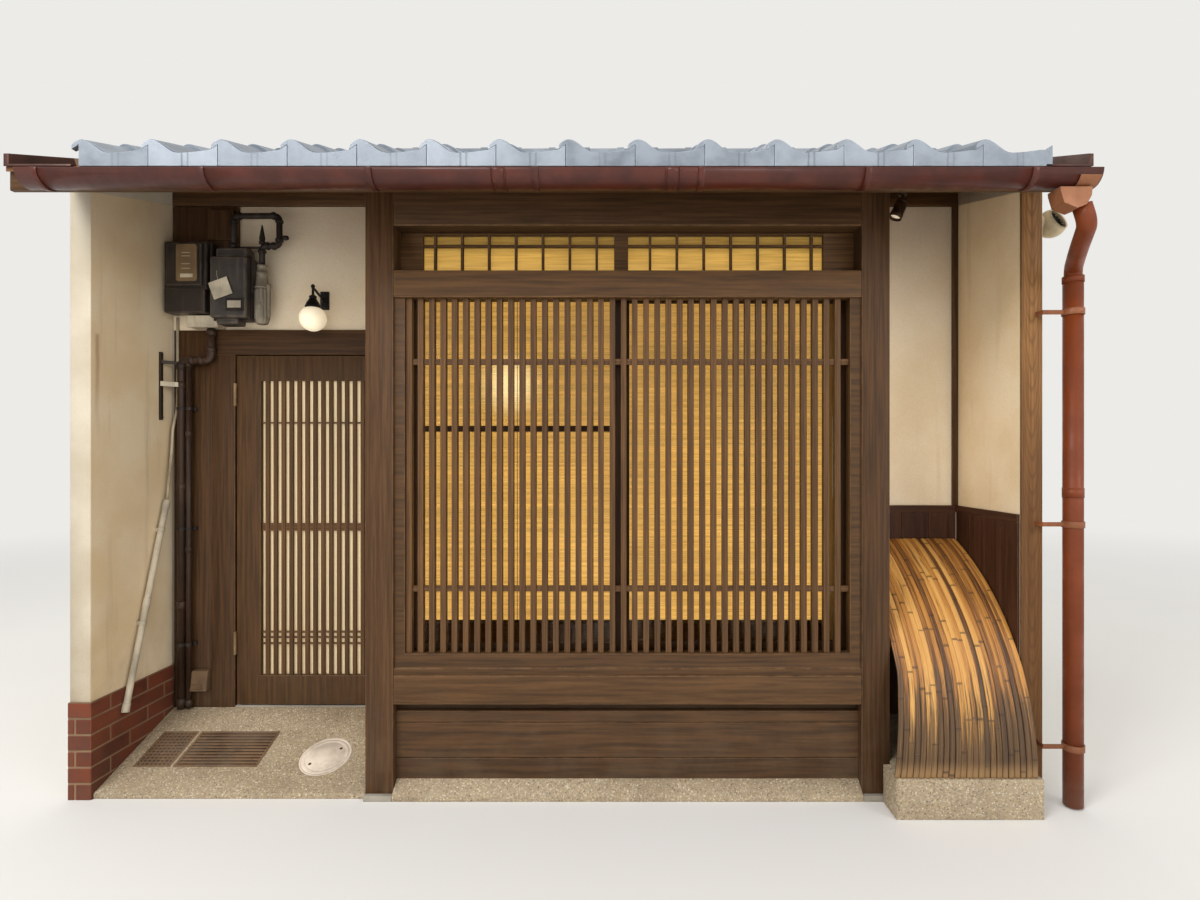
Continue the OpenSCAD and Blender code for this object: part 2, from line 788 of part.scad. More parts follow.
module hopper()
    translate([hopper_x, gutter_y + hopper_d / 2, hopper_z]) rotate([90, 0, 0])
        linear_extrude(hopper_d) polygon([
            [14, 20], [40, 0], [hopper_w - 20, 0], [hopper_w, 34], [hopper_w, hopper_h], [0, hopper_h]
        ]);

back_pipe_x = inner_x - pipe_d;
back_pipe_y = 2 * ridge_y - back_y - pipe_front;

// A swan neck from the hopper back to the wall, and the pipe down it
module downpipe(down_x, wall_y) {
    top = [hopper_x + hopper_w - 42, gutter_y, hopper_z + 2];
    bend_1 = [top.x, gutter_y, hopper_z - 34];
    bend_2 = [down_x, wall_y, pipe_top_z];
    hopper();
    tube_run([top, bend_1, bend_2, [down_x, wall_y, pipe_top_z - 60]], pipe_d / 2);
    translate([down_x, wall_y, pipe_end_z]) difference() {
        cylinder(h = pipe_top_z - pipe_end_z - 40, d = pipe_d);
        translate([0, 0, -1]) cylinder(h = 400, d = pipe_d - 2 * pipe_bore);
    }
}

module downpipes()
    color("firebrick") {
        downpipe(pipe_x, -pipe_front);
        to_back() downpipe(back_pipe_x, back_pipe_y);
    }

band_zs = [251, 1178, 2063];
band_w = 26;
band_t = 4;
band_fit = 0.3;
lug_t = 6;
lug_h = 18;

module band(x, y, z)
    translate([x, y, z - band_w / 2]) difference() {
        cylinder(h = band_w, r = pipe_d / 2 + band_fit + band_t);
        translate([0, 0, -1]) cylinder(h = band_w + 2, r = pipe_d / 2 + band_fit);
    }

module pipe_bands()
    color("firebrick") for (z = band_zs) {
        band(pipe_x, -pipe_front, z);
        foot_x = half_w - 40;
        block(foot_x, pipe_x - pipe_d / 2 - band_fit - 2, -pipe_front - lug_t / 2,
              -pipe_front + lug_t / 2, z - lug_h / 2, z + lug_h / 2);
        block(foot_x, foot_x + lug_t, -pipe_front, -end_post_t, z - lug_h / 2, z + lug_h / 2);
        band(back_pipe_x, back_y + pipe_front, z);
        block(back_pipe_x - lug_t / 2, back_pipe_x + lug_t / 2, back_y,
              back_y + pipe_front - pipe_d / 2 - band_fit - 2, z - lug_h / 2, z + lug_h / 2);
    }

// Arched bamboo fence

// Each slat follows two arcs that run on into each other, in the plane of Y and Z
fence_cy = fence_r - fence_out;
fence_cz = fence_plinth_h;
turn_a = 135;
top_cy = fence_cy + (fence_r - fence_top_r) * cos(turn_a);
top_cz = fence_cz + (fence_r - fence_top_r) * sin(turn_a);
slat_seat = 1;
fence_top_a = acos((recess_d - board_t - slat_seat - top_cy) / (fence_top_r - slat_t));
fence_left = bay_right + 9;
fence_right = inner_right - board_t - 4;
slat_pitch = (fence_right - fence_left) / slats_n;

arc_steps = 9;
function arc_points(cy, cz, radius, a0, a1) = [for (i = [0 : arc_steps])
    let (a = a0 + (a1 - a0) * i / arc_steps) [cy + radius * cos(a), cz + radius * sin(a)]];
function two_arcs(depth) = concat(
    arc_points(fence_cy, fence_cz, fence_r - depth, 180, turn_a),
    [for (i = [1 : arc_steps]) arc_points(top_cy, top_cz, fence_top_r - depth, turn_a, fence_top_a)[i]]
);
function turned(points) = [for (i = [len(points) - 1 : -1 : 0]) points[i]];

module fence_slats()
    color("goldenrod") for (i = [0 : slats_n - 1]) {
        x = fence_left + (i + 0.5) * slat_pitch;
        prism_x(x - slat_w / 2, x + slat_w / 2, concat(two_arcs(0), turned(two_arcs(slat_t))));
    }

fence_rail_w = 36;
fence_rail_t = 18;
rail_fit = 1.2;
module fence_rails()
    color("sienna") for (angle = [145, 160])
        translate([fence_left, fence_cy, fence_cz]) rotate([90, 0, 90]) rotate([0, 0, angle])
            translate([fence_r - slat_t - fence_rail_t - rail_fit, -fence_rail_w / 2, 0])
                cube([fence_rail_t, fence_rail_w, fence_right - fence_left]);

// Lamps, meters and pipes

lamp_x = -1220;
lamp_out = 130;
lamp_z = 2131;
globe_r = 62;
lamp_plate_w = 46;
lamp_plate_h = 92;
module wall_lamp()
    color("black") {
        block(lamp_x - lamp_plate_w / 2, lamp_x + lamp_plate_w / 2, recess_d - 14, recess_d,
              lamp_z + 70, lamp_z + 70 + lamp_plate_h);
        tube_run([[lamp_x, recess_d - 8, lamp_z + 135], [lamp_x, recess_d - lamp_out, lamp_z + 135],
                  [lamp_x, recess_d - lamp_out, lamp_z + 100]], 8);
        translate([lamp_x, recess_d - lamp_out, lamp_z + 54]) cylinder(h = 62, r = 30);
    }

module lamp_globe()
    color("ivory") difference() {
        translate([lamp_x, recess_d - lamp_out, lamp_z]) sphere(globe_r);
        translate([lamp_x, recess_d - lamp_out, lamp_z + 54]) cylinder(h = 40, r = 31);
    }

spot_x = rafter_x0 + 11 * rafter_pitch + rafter_w / 2;
spot_y = 290;
module spotlight()
    color("black") {
        translate([spot_x, spot_y, soffit(spot_y)]) {
            translate([0, 0, -20]) cylinder(h = 20 - slope * rafter_w / 2, r = rafter_w / 2);
            translate([0, 0, -62]) cylinder(h = 50, r = 7);
            translate([0, 0, -45]) rotate([0, 205, 0]) cylinder(h = 92, r = 28);
        }
    }

// The electric meter and a small box hang beside the gas meter
meter_board_x1 = -inner_x + 336;
meter_board_t = 18;
meter_board_z0 = 2175;
meter_wall_y = recess_d - meter_board_t;
meter_x0 = -inner_x + 12;
meter_w = 225;
meter_d = 102;
meter_z0 = 2165;
meter_z1 = 2522;
joint_box_x0 = -inner_x + 116;
joint_box_w = 148;
joint_box_d = 74;
joint_box_z0 = door_head_z + door_head_h + 1;
joint_box_z1 = meter_z0 - 5;
module electric_meter()
    color("dimgray") {
        block(-inner_x + 5, meter_board_x1, meter_wall_y, recess_d, meter_board_z0, wall_beam_z - 4);
        block(meter_x0, meter_x0 + meter_w, meter_wall_y - meter_d, meter_wall_y, meter_z0, meter_z1);
        block(joint_box_x0, joint_box_x0 + joint_box_w, recess_d - joint_box_d, recess_d,
              joint_box_z0, joint_box_z1);
    }

gas_x0 = joint_box_x0 + joint_box_w + 6;
gas_w = 185;
gas_d = 142;
gas_z0 = 2102;
gas_z1 = 2480;
module gas_meter()
    color("gray")
        block(gas_x0, gas_x0 + gas_w, meter_wall_y - gas_d, meter_wall_y, gas_z0, gas_z1);

// Gas pipes: a loop over the meter to its valve, and the riser that feeds it
gas_pipe_y = recess_d - 84;
gas_pipe_r = 14;
loop_x0 = gas_x0 + 84;
loop_x1 = gas_x0 + 308;
loop_z = 2646;
valve_x = gas_x0 + gas_w + 38;
valve_z0 = 2110;
valve_z1 = 2400;
valve_r = 34;
elbow_z = 2498;
riser_r = 20;
riser_x = -inner_x + 64;
riser_y = line_y - riser_r - ball_out - 1;
riser_z0 = porch_back_h + 0.3;
riser_elbow_x = joint_box_x0 + 97;
riser_elbow_z = 1940;
clamp_zs = [520, 1099, 1699];
clamp_w = 50;
clamp_h = 18;
bracket_y = 405;
bracket_w = 16;
bracket_t = 12;
bracket_z0 = 1640;
bracket_z1 = 1973;
strap_zs = [1818, 1925];
strap_plate_h = 18;
strap_plate_t = 5;
module gas_pipes()
    color("dimgray") {
        tube_run([[loop_x0, gas_pipe_y, gas_z1 + 0.3], [loop_x0, gas_pipe_y, loop_z],
                  [loop_x1, gas_pipe_y, loop_z], [loop_x1, gas_pipe_y, elbow_z],
                  [valve_x, gas_pipe_y, elbow_z], [valve_x, gas_pipe_y, valve_z1 - 4]], gas_pipe_r);
        translate([loop_x1, gas_pipe_y, elbow_z + 40]) rotate([0, 90, 0]) cylinder(h = 45, r = 9);
        translate([valve_x, gas_pipe_y, valve_z0]) cylinder(h = 180, r = valve_r);
        translate([valve_x, gas_pipe_y, valve_z0 + 179])
            cylinder(h = valve_z1 - valve_z0 - 179, r1 = valve_r - 4, r2 = 22);
        translate([gas_x0 + gas_w + 0.3, gas_pipe_y, valve_z0 + 40]) rotate([0, 90, 0])
            cylinder(h = 20, r = 12);
        tube_run([[riser_x, riser_y, riser_z0], [riser_x, riser_y, riser_elbow_z],
                  [riser_elbow_x, riser_y, riser_elbow_z],
                  [riser_elbow_x, riser_y, joint_box_z0 - 0.3]], riser_r);
        for (z = clamp_zs)
            block(riser_x - clamp_w / 2, riser_x + clamp_w / 2, riser_y - 4, recess_d,
                  z - clamp_h / 2, z + clamp_h / 2);
        block(-inner_x, -inner_x + bracket_t, bracket_y, bracket_y + bracket_w, bracket_z0, bracket_z1);
        for (z = strap_zs)
            hull() {
                block(-inner_x + 1, -inner_x + 1 + strap_plate_t, bracket_y + 2, bracket_y + 7,
                      z - strap_plate_h / 2, z + strap_plate_h / 2);
                block(riser_x - strap_plate_t / 2, riser_x + strap_plate_t / 2, riser_y - 5, riser_y,
                      z - strap_plate_h / 2, z + strap_plate_h / 2);
            }
    }

// A cable comes down beside the riser into a pale conduit that slants down the side wall
conduit_r = 14.5;
conduit_x = porch_left + conduit_r + 0.3;
cable_r = 7;
cable_y = recess_d - cable_r - ball_out - 0.5;
conduit_knee = [428, 1246];
conduit_foot = [159, 308];
clip_h = 20;
clip_share = [0.15, 0.6];
cable_turn_z = 1700;
cable_strap = [470, 1610];
cable_reach = [463, 1493];
module cable_conduit()
    color("ivory") {
        tube_run([[conduit_x, cable_y, meter_z0 - 5], [conduit_x, cable_y, cable_turn_z],
                  [conduit_x, cable_strap[0], cable_strap[1]],
                  [conduit_x, cable_reach[0], cable_reach[1]],
                  [conduit_x, conduit_knee[0], conduit_knee[1] - 10]], cable_r);
        tube_run([[conduit_x, conduit_knee[0], conduit_knee[1]],
                  [conduit_x, conduit_foot[0], conduit_foot[1]]], conduit_r);
        for (share = clip_share) {
            at = conduit_knee + (conduit_foot - conduit_knee) * share;
            block(-inner_x, conduit_x, at[0] - clip_h / 2, at[0] + clip_h / 2,
                  at[1] - clip_h / 2, at[1] + clip_h / 2);
        }
    }

outlet_x0 = -inner_x + 95;
outlet_w = 95;
outlet_d = 44;
outlet_h = 100;
outlet_z0 = 285;
module outlet_box()
    color("ivory")
        block(outlet_x0, outlet_x0 + outlet_w, recess_d - outlet_d, recess_d,
              outlet_z0, outlet_z0 + outlet_h);

// A hood on a short neck, with its round mouth turned to the street
vent_z = 2475;
vent_y = 62;
vent_r = 60;
vent_out = 77;
vent_wall = 5;
vent_mouth = 34;
vent_turn = [0, 67, -63];
vent_neck_r = 34;
vent_flange_r = 52;
vent_flange_t = 6;
module vent_hood()
    color("ivory") translate([half_w, vent_y, vent_z]) {
        rotate([0, 90, 0]) cylinder(h = vent_flange_t, r = vent_flange_r);
        rotate([0, 90, 0]) cylinder(h = vent_out - vent_r + 12, r = vent_neck_r);
        translate([vent_out, 0, 0]) difference() {
            sphere(vent_r);
            sphere(vent_r - vent_wall);
            rotate(vent_turn) translate([0, 0, vent_mouth]) cylinder(h = vent_r, r = vent_r + 5);
        }
    }

// Entrance door

hinge_x = -inner_x + side_board_w + post_w + hinge_gap / 2;
leaf_x0 = hinge_x + hinge_gap / 2;
leaf_x1 = leaf_x0 + door_w;
leaf_y0 = line_y;
leaf_y1 = line_y + door_t;
sill_top_z = floor_h + 5;
leaf_z0 = sill_top_z + under_door_gap;
leaf_z1 = door_head_z - over_door_gap;
hinge_y = line_y - 8;
jamb_x = leaf_x1 + lock_gap;

module door_side_board()
    color("saddlebrown")
        block(-inner_x, -inner_x + side_board_w, recess_d, recess_d + 40, 0, door_head_z + door_head_h);

module door_posts()
    color("saddlebrown") {
        block(-inner_x + side_board_w, hinge_x - hinge_gap / 2, line_y, line_back_y, 0, door_head_z);
        block(jamb_x, bay_left, line_y, line_back_y, 0, door_head_z);
    }

module door_head()
    color("saddlebrown")
        block(-inner_x + side_board_w, bay_left, line_y, line_back_y - 16,
              door_head_z, door_head_z + door_head_h);

module door_threshold()
    color("gray")
        block(hinge_x - hinge_gap / 2, jamb_x, line_y, line_back_y, 0, sill_top_z);

// Butt hinges: the frame holds the pin and the outer knuckles, the leaf the middle one
knuckle_r = 7;
pin_r = 3.5;
pin_fit = 0.05;
knuckle_gap = 0.5;
hinge_h = 114;
hinge_zs = [465, 1715];
plate_t = 2;
plate_in = 34;
knuckle_h = hinge_h / 3;

module plate(side, z0, h, y0, y1)
    block(side < 0 ? hinge_x - hinge_gap / 2 : hinge_x + hinge_gap / 2 - plate_t,
          side < 0 ? hinge_x - hinge_gap / 2 + plate_t : hinge_x + hinge_gap / 2,
          y0, y1, z0, z0 + h);

plate_y0 = hinge_y + knuckle_r + 2;
module frame_hinge(z) {
    for (k = [0, 2]) {
        translate([hinge_x, hinge_y, z + k * knuckle_h])
            cylinder(h = knuckle_h - knuckle_gap, r = knuckle_r);
        plate(-1, z + k * knuckle_h, knuckle_h - knuckle_gap, hinge_y, plate_y0 + 1);
    }
    translate([hinge_x, hinge_y, z + 1]) cylinder(h = hinge_h - 2, r = pin_r);
    plate(-1, z, hinge_h - knuckle_gap, plate_y0, line_y + plate_in);
}

module leaf_hinge(z) {
    difference() {
        union() {
            translate([hinge_x, hinge_y, z + knuckle_h])
                cylinder(h = knuckle_h - knuckle_gap, r = knuckle_r);
            plate(1, z + knuckle_h, knuckle_h - knuckle_gap, hinge_y, plate_y0 + 1);
        }
        translate([hinge_x, hinge_y, z]) cylinder(h = hinge_h, r = pin_r + pin_fit);
    }
    plate(1, z, hinge_h - knuckle_gap, plate_y0, line_y + plate_in);
}

module frame_hinges() color("dimgray") for (z = hinge_zs) frame_hinge(z);

panel_x0 = leaf_x0 + door_stile_w;
panel_x1 = leaf_x1 - door_stile_w;
panel_z0 = leaf_z0 + door_bottom_rail_h;
panel_z1 = leaf_z1 - door_top_rail_h;

module door_leaf()
    color("saddlebrown") difference() {
        block(leaf_x0, leaf_x1, leaf_y0, leaf_y1, leaf_z0, leaf_z1);
        block(panel_x0, panel_x1, leaf_y0 - 1, leaf_y1 + 1, panel_z0, panel_z1);
    }

door_rails = [[1631, 8], [1104, 39], [573, 8], [546, 8], [515, 8]];
door_lattice_set = 4;
module door_lattice()
    color("saddlebrown") {
        y0 = leaf_y0 + door_lattice_set;
        pitch = (panel_x1 - panel_x0 + door_bar_w) / (door_bars + 1);
        for (i = [1 : door_bars])
            translate([panel_x0 - door_bar_w + i * pitch, y0, panel_z0])
                cube([door_bar_w, door_bar_d, panel_z1 - panel_z0]);
        for (rail = door_rails)
            block(panel_x0, panel_x1, y0 + 5, y0 + door_bar_d, rail[0] - rail[1] / 2, rail[0] + rail[1] / 2);
    }

module door_panel()
    color("ivory") {
        y0 = leaf_y0 + door_lattice_set + door_bar_d;
        block(panel_x0, panel_x1, y0 + 1, y0 + 5, panel_z0, panel_z1);
    }

pull_z = 1080;
module door_fittings()
    color("dimgray") {
        for (z = hinge_zs) leaf_hinge(z);
        pull_x = leaf_x1 - door_stile_w / 2;
        for (dz = [0, 150])
            translate([pull_x, leaf_y0, pull_z + dz]) rotate([90, 0, 0]) cylinder(h = 30, r = 6);
        translate([pull_x, leaf_y0 - 30, pull_z - 15]) cylinder(h = 180, r = 7);
    }

floor_slab();
bay_floor();
bay_plinth();
porch_slab();
fence_plinth();
post_stones();
party_walls();
brick_dado();
wall_end_post();
wall_posts();
plaster_walls();
back_window_frame();
recess_boards();
wall_beams();
bay_posts();
bay_board_panel();
bay_beams();
lattice_frame();
lattice_bars();
window_rails();
window_sashes();
window_glass();
bamboo_blinds();
transom_frame();
rafters();
ridge_beam();
roof_boards();
eave_boards();
roof_tiles();
ridge_tiles();
roof_flashings();
gutters();
gutter_straps();
downpipes();
pipe_bands();
fence_slats();
fence_rails();
wall_lamp();
lamp_globe();
spotlight();
electric_meter();
gas_meter();
gas_pipes();
cable_conduit();
outlet_box();
vent_hood();
drain_covers();
door_side_board();
door_posts();
door_head();
door_threshold();
frame_hinges();
door_leaf();
door_lattice();
door_panel();
door_fittings();
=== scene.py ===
"""The looks of a machiya townhouse: a single-storey timber row house with a latticed bay,
a recessed entrance on its left and an arched bamboo fence in the recess on its right.

Sizes are in millimetres in the row frame, and become metres when a mesh is made.
"""

import logging
import math
import random
from collections.abc import Sequence
from dataclasses import dataclass
from enum import Enum
from functools import cache, cached_property

import bmesh
import bpy
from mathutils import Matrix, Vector


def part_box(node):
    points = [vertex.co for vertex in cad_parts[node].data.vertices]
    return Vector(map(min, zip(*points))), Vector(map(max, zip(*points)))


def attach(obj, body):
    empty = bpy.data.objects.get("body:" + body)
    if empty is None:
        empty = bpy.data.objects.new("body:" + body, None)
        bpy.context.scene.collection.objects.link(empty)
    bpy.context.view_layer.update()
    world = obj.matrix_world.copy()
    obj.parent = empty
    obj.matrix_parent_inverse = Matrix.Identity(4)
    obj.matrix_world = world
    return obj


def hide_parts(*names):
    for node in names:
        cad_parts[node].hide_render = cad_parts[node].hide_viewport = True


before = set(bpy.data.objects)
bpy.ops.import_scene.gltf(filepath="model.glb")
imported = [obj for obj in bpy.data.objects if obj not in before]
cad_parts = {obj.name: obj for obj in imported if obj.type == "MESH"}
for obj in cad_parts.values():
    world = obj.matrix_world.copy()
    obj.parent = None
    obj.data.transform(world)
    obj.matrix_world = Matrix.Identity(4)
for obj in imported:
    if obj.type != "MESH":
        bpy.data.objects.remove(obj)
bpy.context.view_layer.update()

MM = 0.001
UP, OUT, EAST = Vector((0, 0, 1)), Vector((0, -1, 0)), Vector((1, 0, 0))
log = logging.getLogger("townhouse")

Colour = tuple[int, int, int]
Pair = tuple[float, float]
Pairs = tuple[Pair, ...]
Triple = tuple[float, float, float]
Outline = Sequence[Pair]
Place = Vector | Triple
Piece = bpy.types.Object
Tree = bpy.types.NodeTree


# Nodes

NOISE = (0.3, 0.7)  # the range that most of a noise lies in


def linear(colour: Colour) -> tuple[float, ...]:
    """Gives the scene colour for a screen colour.

    Args:
        colour: Red, green and blue of 0 to 255.

    Returns:
        The colour in linear light, with an alpha of 1.
    """
    parts = [c / 255 for c in colour]
    return (*(p / 12.92 if p <= 0.04045 else ((p + 0.055) / 1.055) ** 2.4 for p in parts), 1.0)


def toned(colour: Colour, share: float) -> Colour:
    """Makes a screen colour darker or lighter."""
    return tuple(min(255, int(c * share)) for c in colour)


@dataclass(frozen=True)
class Value:
    """A node's output, which can be reckoned with as a number can."""

    graph: "Graph"
    socket: bpy.types.NodeSocket

    def __add__(self, other: "Value | float") -> "Value":
        """Adds a number or another value."""
        return self.graph.math("ADD", self, other)

    def __sub__(self, other: "Value | float") -> "Value":
        """Takes off a number or another value."""
        return self.graph.math("SUBTRACT", self, other)

    def __rsub__(self, other: float) -> "Value":
        """Takes the value off a number."""
        return self.graph.math("SUBTRACT", other, self)

    def __mul__(self, other: "Value | float") -> "Value":
        """Multiplies by a number or another value."""
        return self.graph.math("MULTIPLY", self, other)

    def __truediv__(self, other: "Value | float") -> "Value":
        """Divides by a number or another value."""
        return self.graph.math("DIVIDE", self, other)

    def beside(self, key: str) -> "Value":
        """Gives another output of the same node."""
        return Value(self.graph, self.socket.node.outputs[key])


Number = Value | float
Feed = Value | float | tuple
Feeds = dict[str | int, object]


class Graph:
    """Adds nodes to one node tree and joins them."""

    def __init__(self, tree: Tree) -> None:
        """Takes the tree to build in."""
        self.tree = tree

    @classmethod
    def start(cls, name: str, takes: dict[str, str | float], kind: str = "Shader") -> tuple["Graph", dict[str, Value]]:
        """Starts a node group.

        Args:
            name: The group's name.
            takes: Its inputs, with each one's kind, or with the number that it starts from.
            kind: "Shader" or "Geometry".

        Returns:
            The graph, and its inputs by name.
        """
        graph = cls(bpy.data.node_groups.new(name, f"{kind}NodeTree"))
        for key, value in takes.items():
            socket_kind = value if isinstance(value, str) else "Float"
            socket = graph.tree.interface.new_socket(key, in_out="INPUT", socket_type=f"NodeSocket{socket_kind}")
            if isinstance(value, float):
                socket.default_value = value
        node = graph.node("NodeGroupInput")
        return graph, {key: Value(graph, node.outputs[key]) for key in takes}

    def end(self, gives: dict[str, Value], kind: str = "Float") -> Tree:
        """Ends a node group.

        Args:
            gives: Its outputs by name.
            kind: What all of them are.

        Returns:
            The group's tree.
        """
        for key in gives:
            self.tree.interface.new_socket(key, in_out="OUTPUT", socket_type=f"NodeSocket{kind}")
        self.node("NodeGroupOutput", gives)
        return self.tree

    def node(self, kind: str, feeds: Feeds | None = None, **settings: object) -> bpy.types.Node:
        """Adds a node.

        Args:
            kind: The node's type name.
            feeds: Values or constants for its inputs, by name or number.
            settings: The node's own properties.

        Returns:
            The new node.
        """
        node = self.tree.nodes.new(kind)
        for key, setting in settings.items():
            setattr(node, key, setting)
        for key, value in (feeds or {}).items():
            if isinstance(value, Value):
                self.tree.links.new(value.socket, node.inputs[key])
            else:
                node.inputs[key].default_value = value
        return node

    def add(self, kind: str, feeds: Feeds | None = None, out: str | int = 0, **settings: object) -> Value:
        """Adds a node and gives one of its outputs."""
        return Value(self, self.node(kind, feeds, **settings).outputs[out])

    def all(self, kind: str, feeds: Feeds, **settings: object) -> list[Value]:
        """Adds a node and gives all of its outputs."""
        return [Value(self, socket) for socket in self.node(kind, feeds, **settings).outputs]

    def group(self, tree: Tree, feeds: Feeds) -> list[Value]:
        """Places a shader node group and gives its outputs."""
        return self.all("ShaderNodeGroup", feeds, node_tree=tree)

    def math(self, operation: str, first: Number, second: Number = 0.0, clamp: bool = False) -> Value:
        """Reckons with one or two numbers."""
        return self.add("ShaderNodeMath", {0: first, 1: second}, operation=operation, use_clamp=clamp)

    def vector(self, operation: str, first: Feed, second: Feed = (0.0, 0.0, 0.0)) -> Value:
        """Reckons with one or two vectors."""
        return self.add("ShaderNodeVectorMath", {0: first, 1: second}, operation=operation)

    def scaled(self, vector: Feed, share: Number) -> Value:
        """Multiplies a vector by a number."""
        return self.add("ShaderNodeVectorMath", {0: vector, "Scale": share}, operation="SCALE")

    def length(self, vector: Feed) -> Value:
        """Gives a vector's length."""
        return self.add("ShaderNodeVectorMath", {0: vector}, "Value", operation="LENGTH")

    def combine(self, x: Number, y: Number, z: Number = 0.0) -> Value:
        """Makes a vector of three numbers."""
        return self.add("ShaderNodeCombineXYZ", {0: x, 1: y, 2: z})

    def split(self, vector: Feed) -> list[Value]:
        """Gives the three numbers of a vector."""
        return self.all("ShaderNodeSeparateXYZ", {0: vector})

    def mix(self, share: Number, first: Value | Colour, second: Value | Colour, blend: str = "MIX") -> Value:
        """Mixes two colours.

        Args:
            share: How much of the second colour shows.
            first: The first colour.
            second: The second colour.
            blend: The way of mixing.

        Returns:
            The mixed colour.
        """
        a, b = (linear(c) if isinstance(c, tuple) else c for c in (first, second))
        return self.add("ShaderNodeMix", {0: share, 6: a, 7: b}, 2, data_type="RGBA", blend_type=blend)

    def noise(self, vector: Feed, scale: float, detail: float = 2.0, rough: float = 0.5) -> Value:
        """Gives cloudy noise."""
        return self.add("ShaderNodeTexNoise", {"Vector": vector, "Scale": scale, "Detail": detail, "Roughness": rough})

    def span(self, value: Number, low: float, high: float, start: Number = 0.0, end: Number = 1.0) -> Value:
        """Maps a range smoothly on to another one.

        Args:
            value: The value.
            low: The range's lower end.
            high: Its upper end.
            start: What the lower end becomes.
            end: What the upper end becomes.

        Returns:
            The mapped value.
        """
        feeds = {0: value, 1: low, 2: high, 3: start, 4: end}
        return self.add("ShaderNodeMapRange", feeds, interpolation_type="SMOOTHSTEP")

    def ramp(self, share: Value, stops: list[tuple[float, Colour]]) -> Value:
        """Runs through several colours as a value rises.

        Args:
            share: The value, from 0 to 1.
            stops: Places and their colours.

        Returns:
            The colour.
        """
        node = self.node("ShaderNodeValToRGB", {0: share})
        keys = node.color_ramp.elements
        while len(keys) < len(stops):
            keys.new(0.5)
        for key, (place, colour) in zip(keys, stops):
            key.position, key.color = place, linear(colour)
        return Value(self, node.outputs[0])

    def attribute(self, name: str) -> Value:
        """Reads a number kept in the mesh."""
        return self.add("ShaderNodeAttribute", out="Fac", attribute_name=name)

    @cached_property
    def here(self) -> Value:
        """The place on the object, in metres."""
        return self.add("ShaderNodeTexCoord", out="Object")

    @cached_property
    def lengthwise(self) -> Value:
        """The mesh's own map, whose first coordinate runs along each member."""
        return self.add("ShaderNodeUVMap", uv_map="grain")

    def bump(self, height: Value, depth: float, strength: float = 1.0) -> Value:
        """Turns a height into a normal; the depth is in millimetres."""
        return self.add("ShaderNodeBump", {"Height": height, "Distance": depth * MM, "Strength": strength})


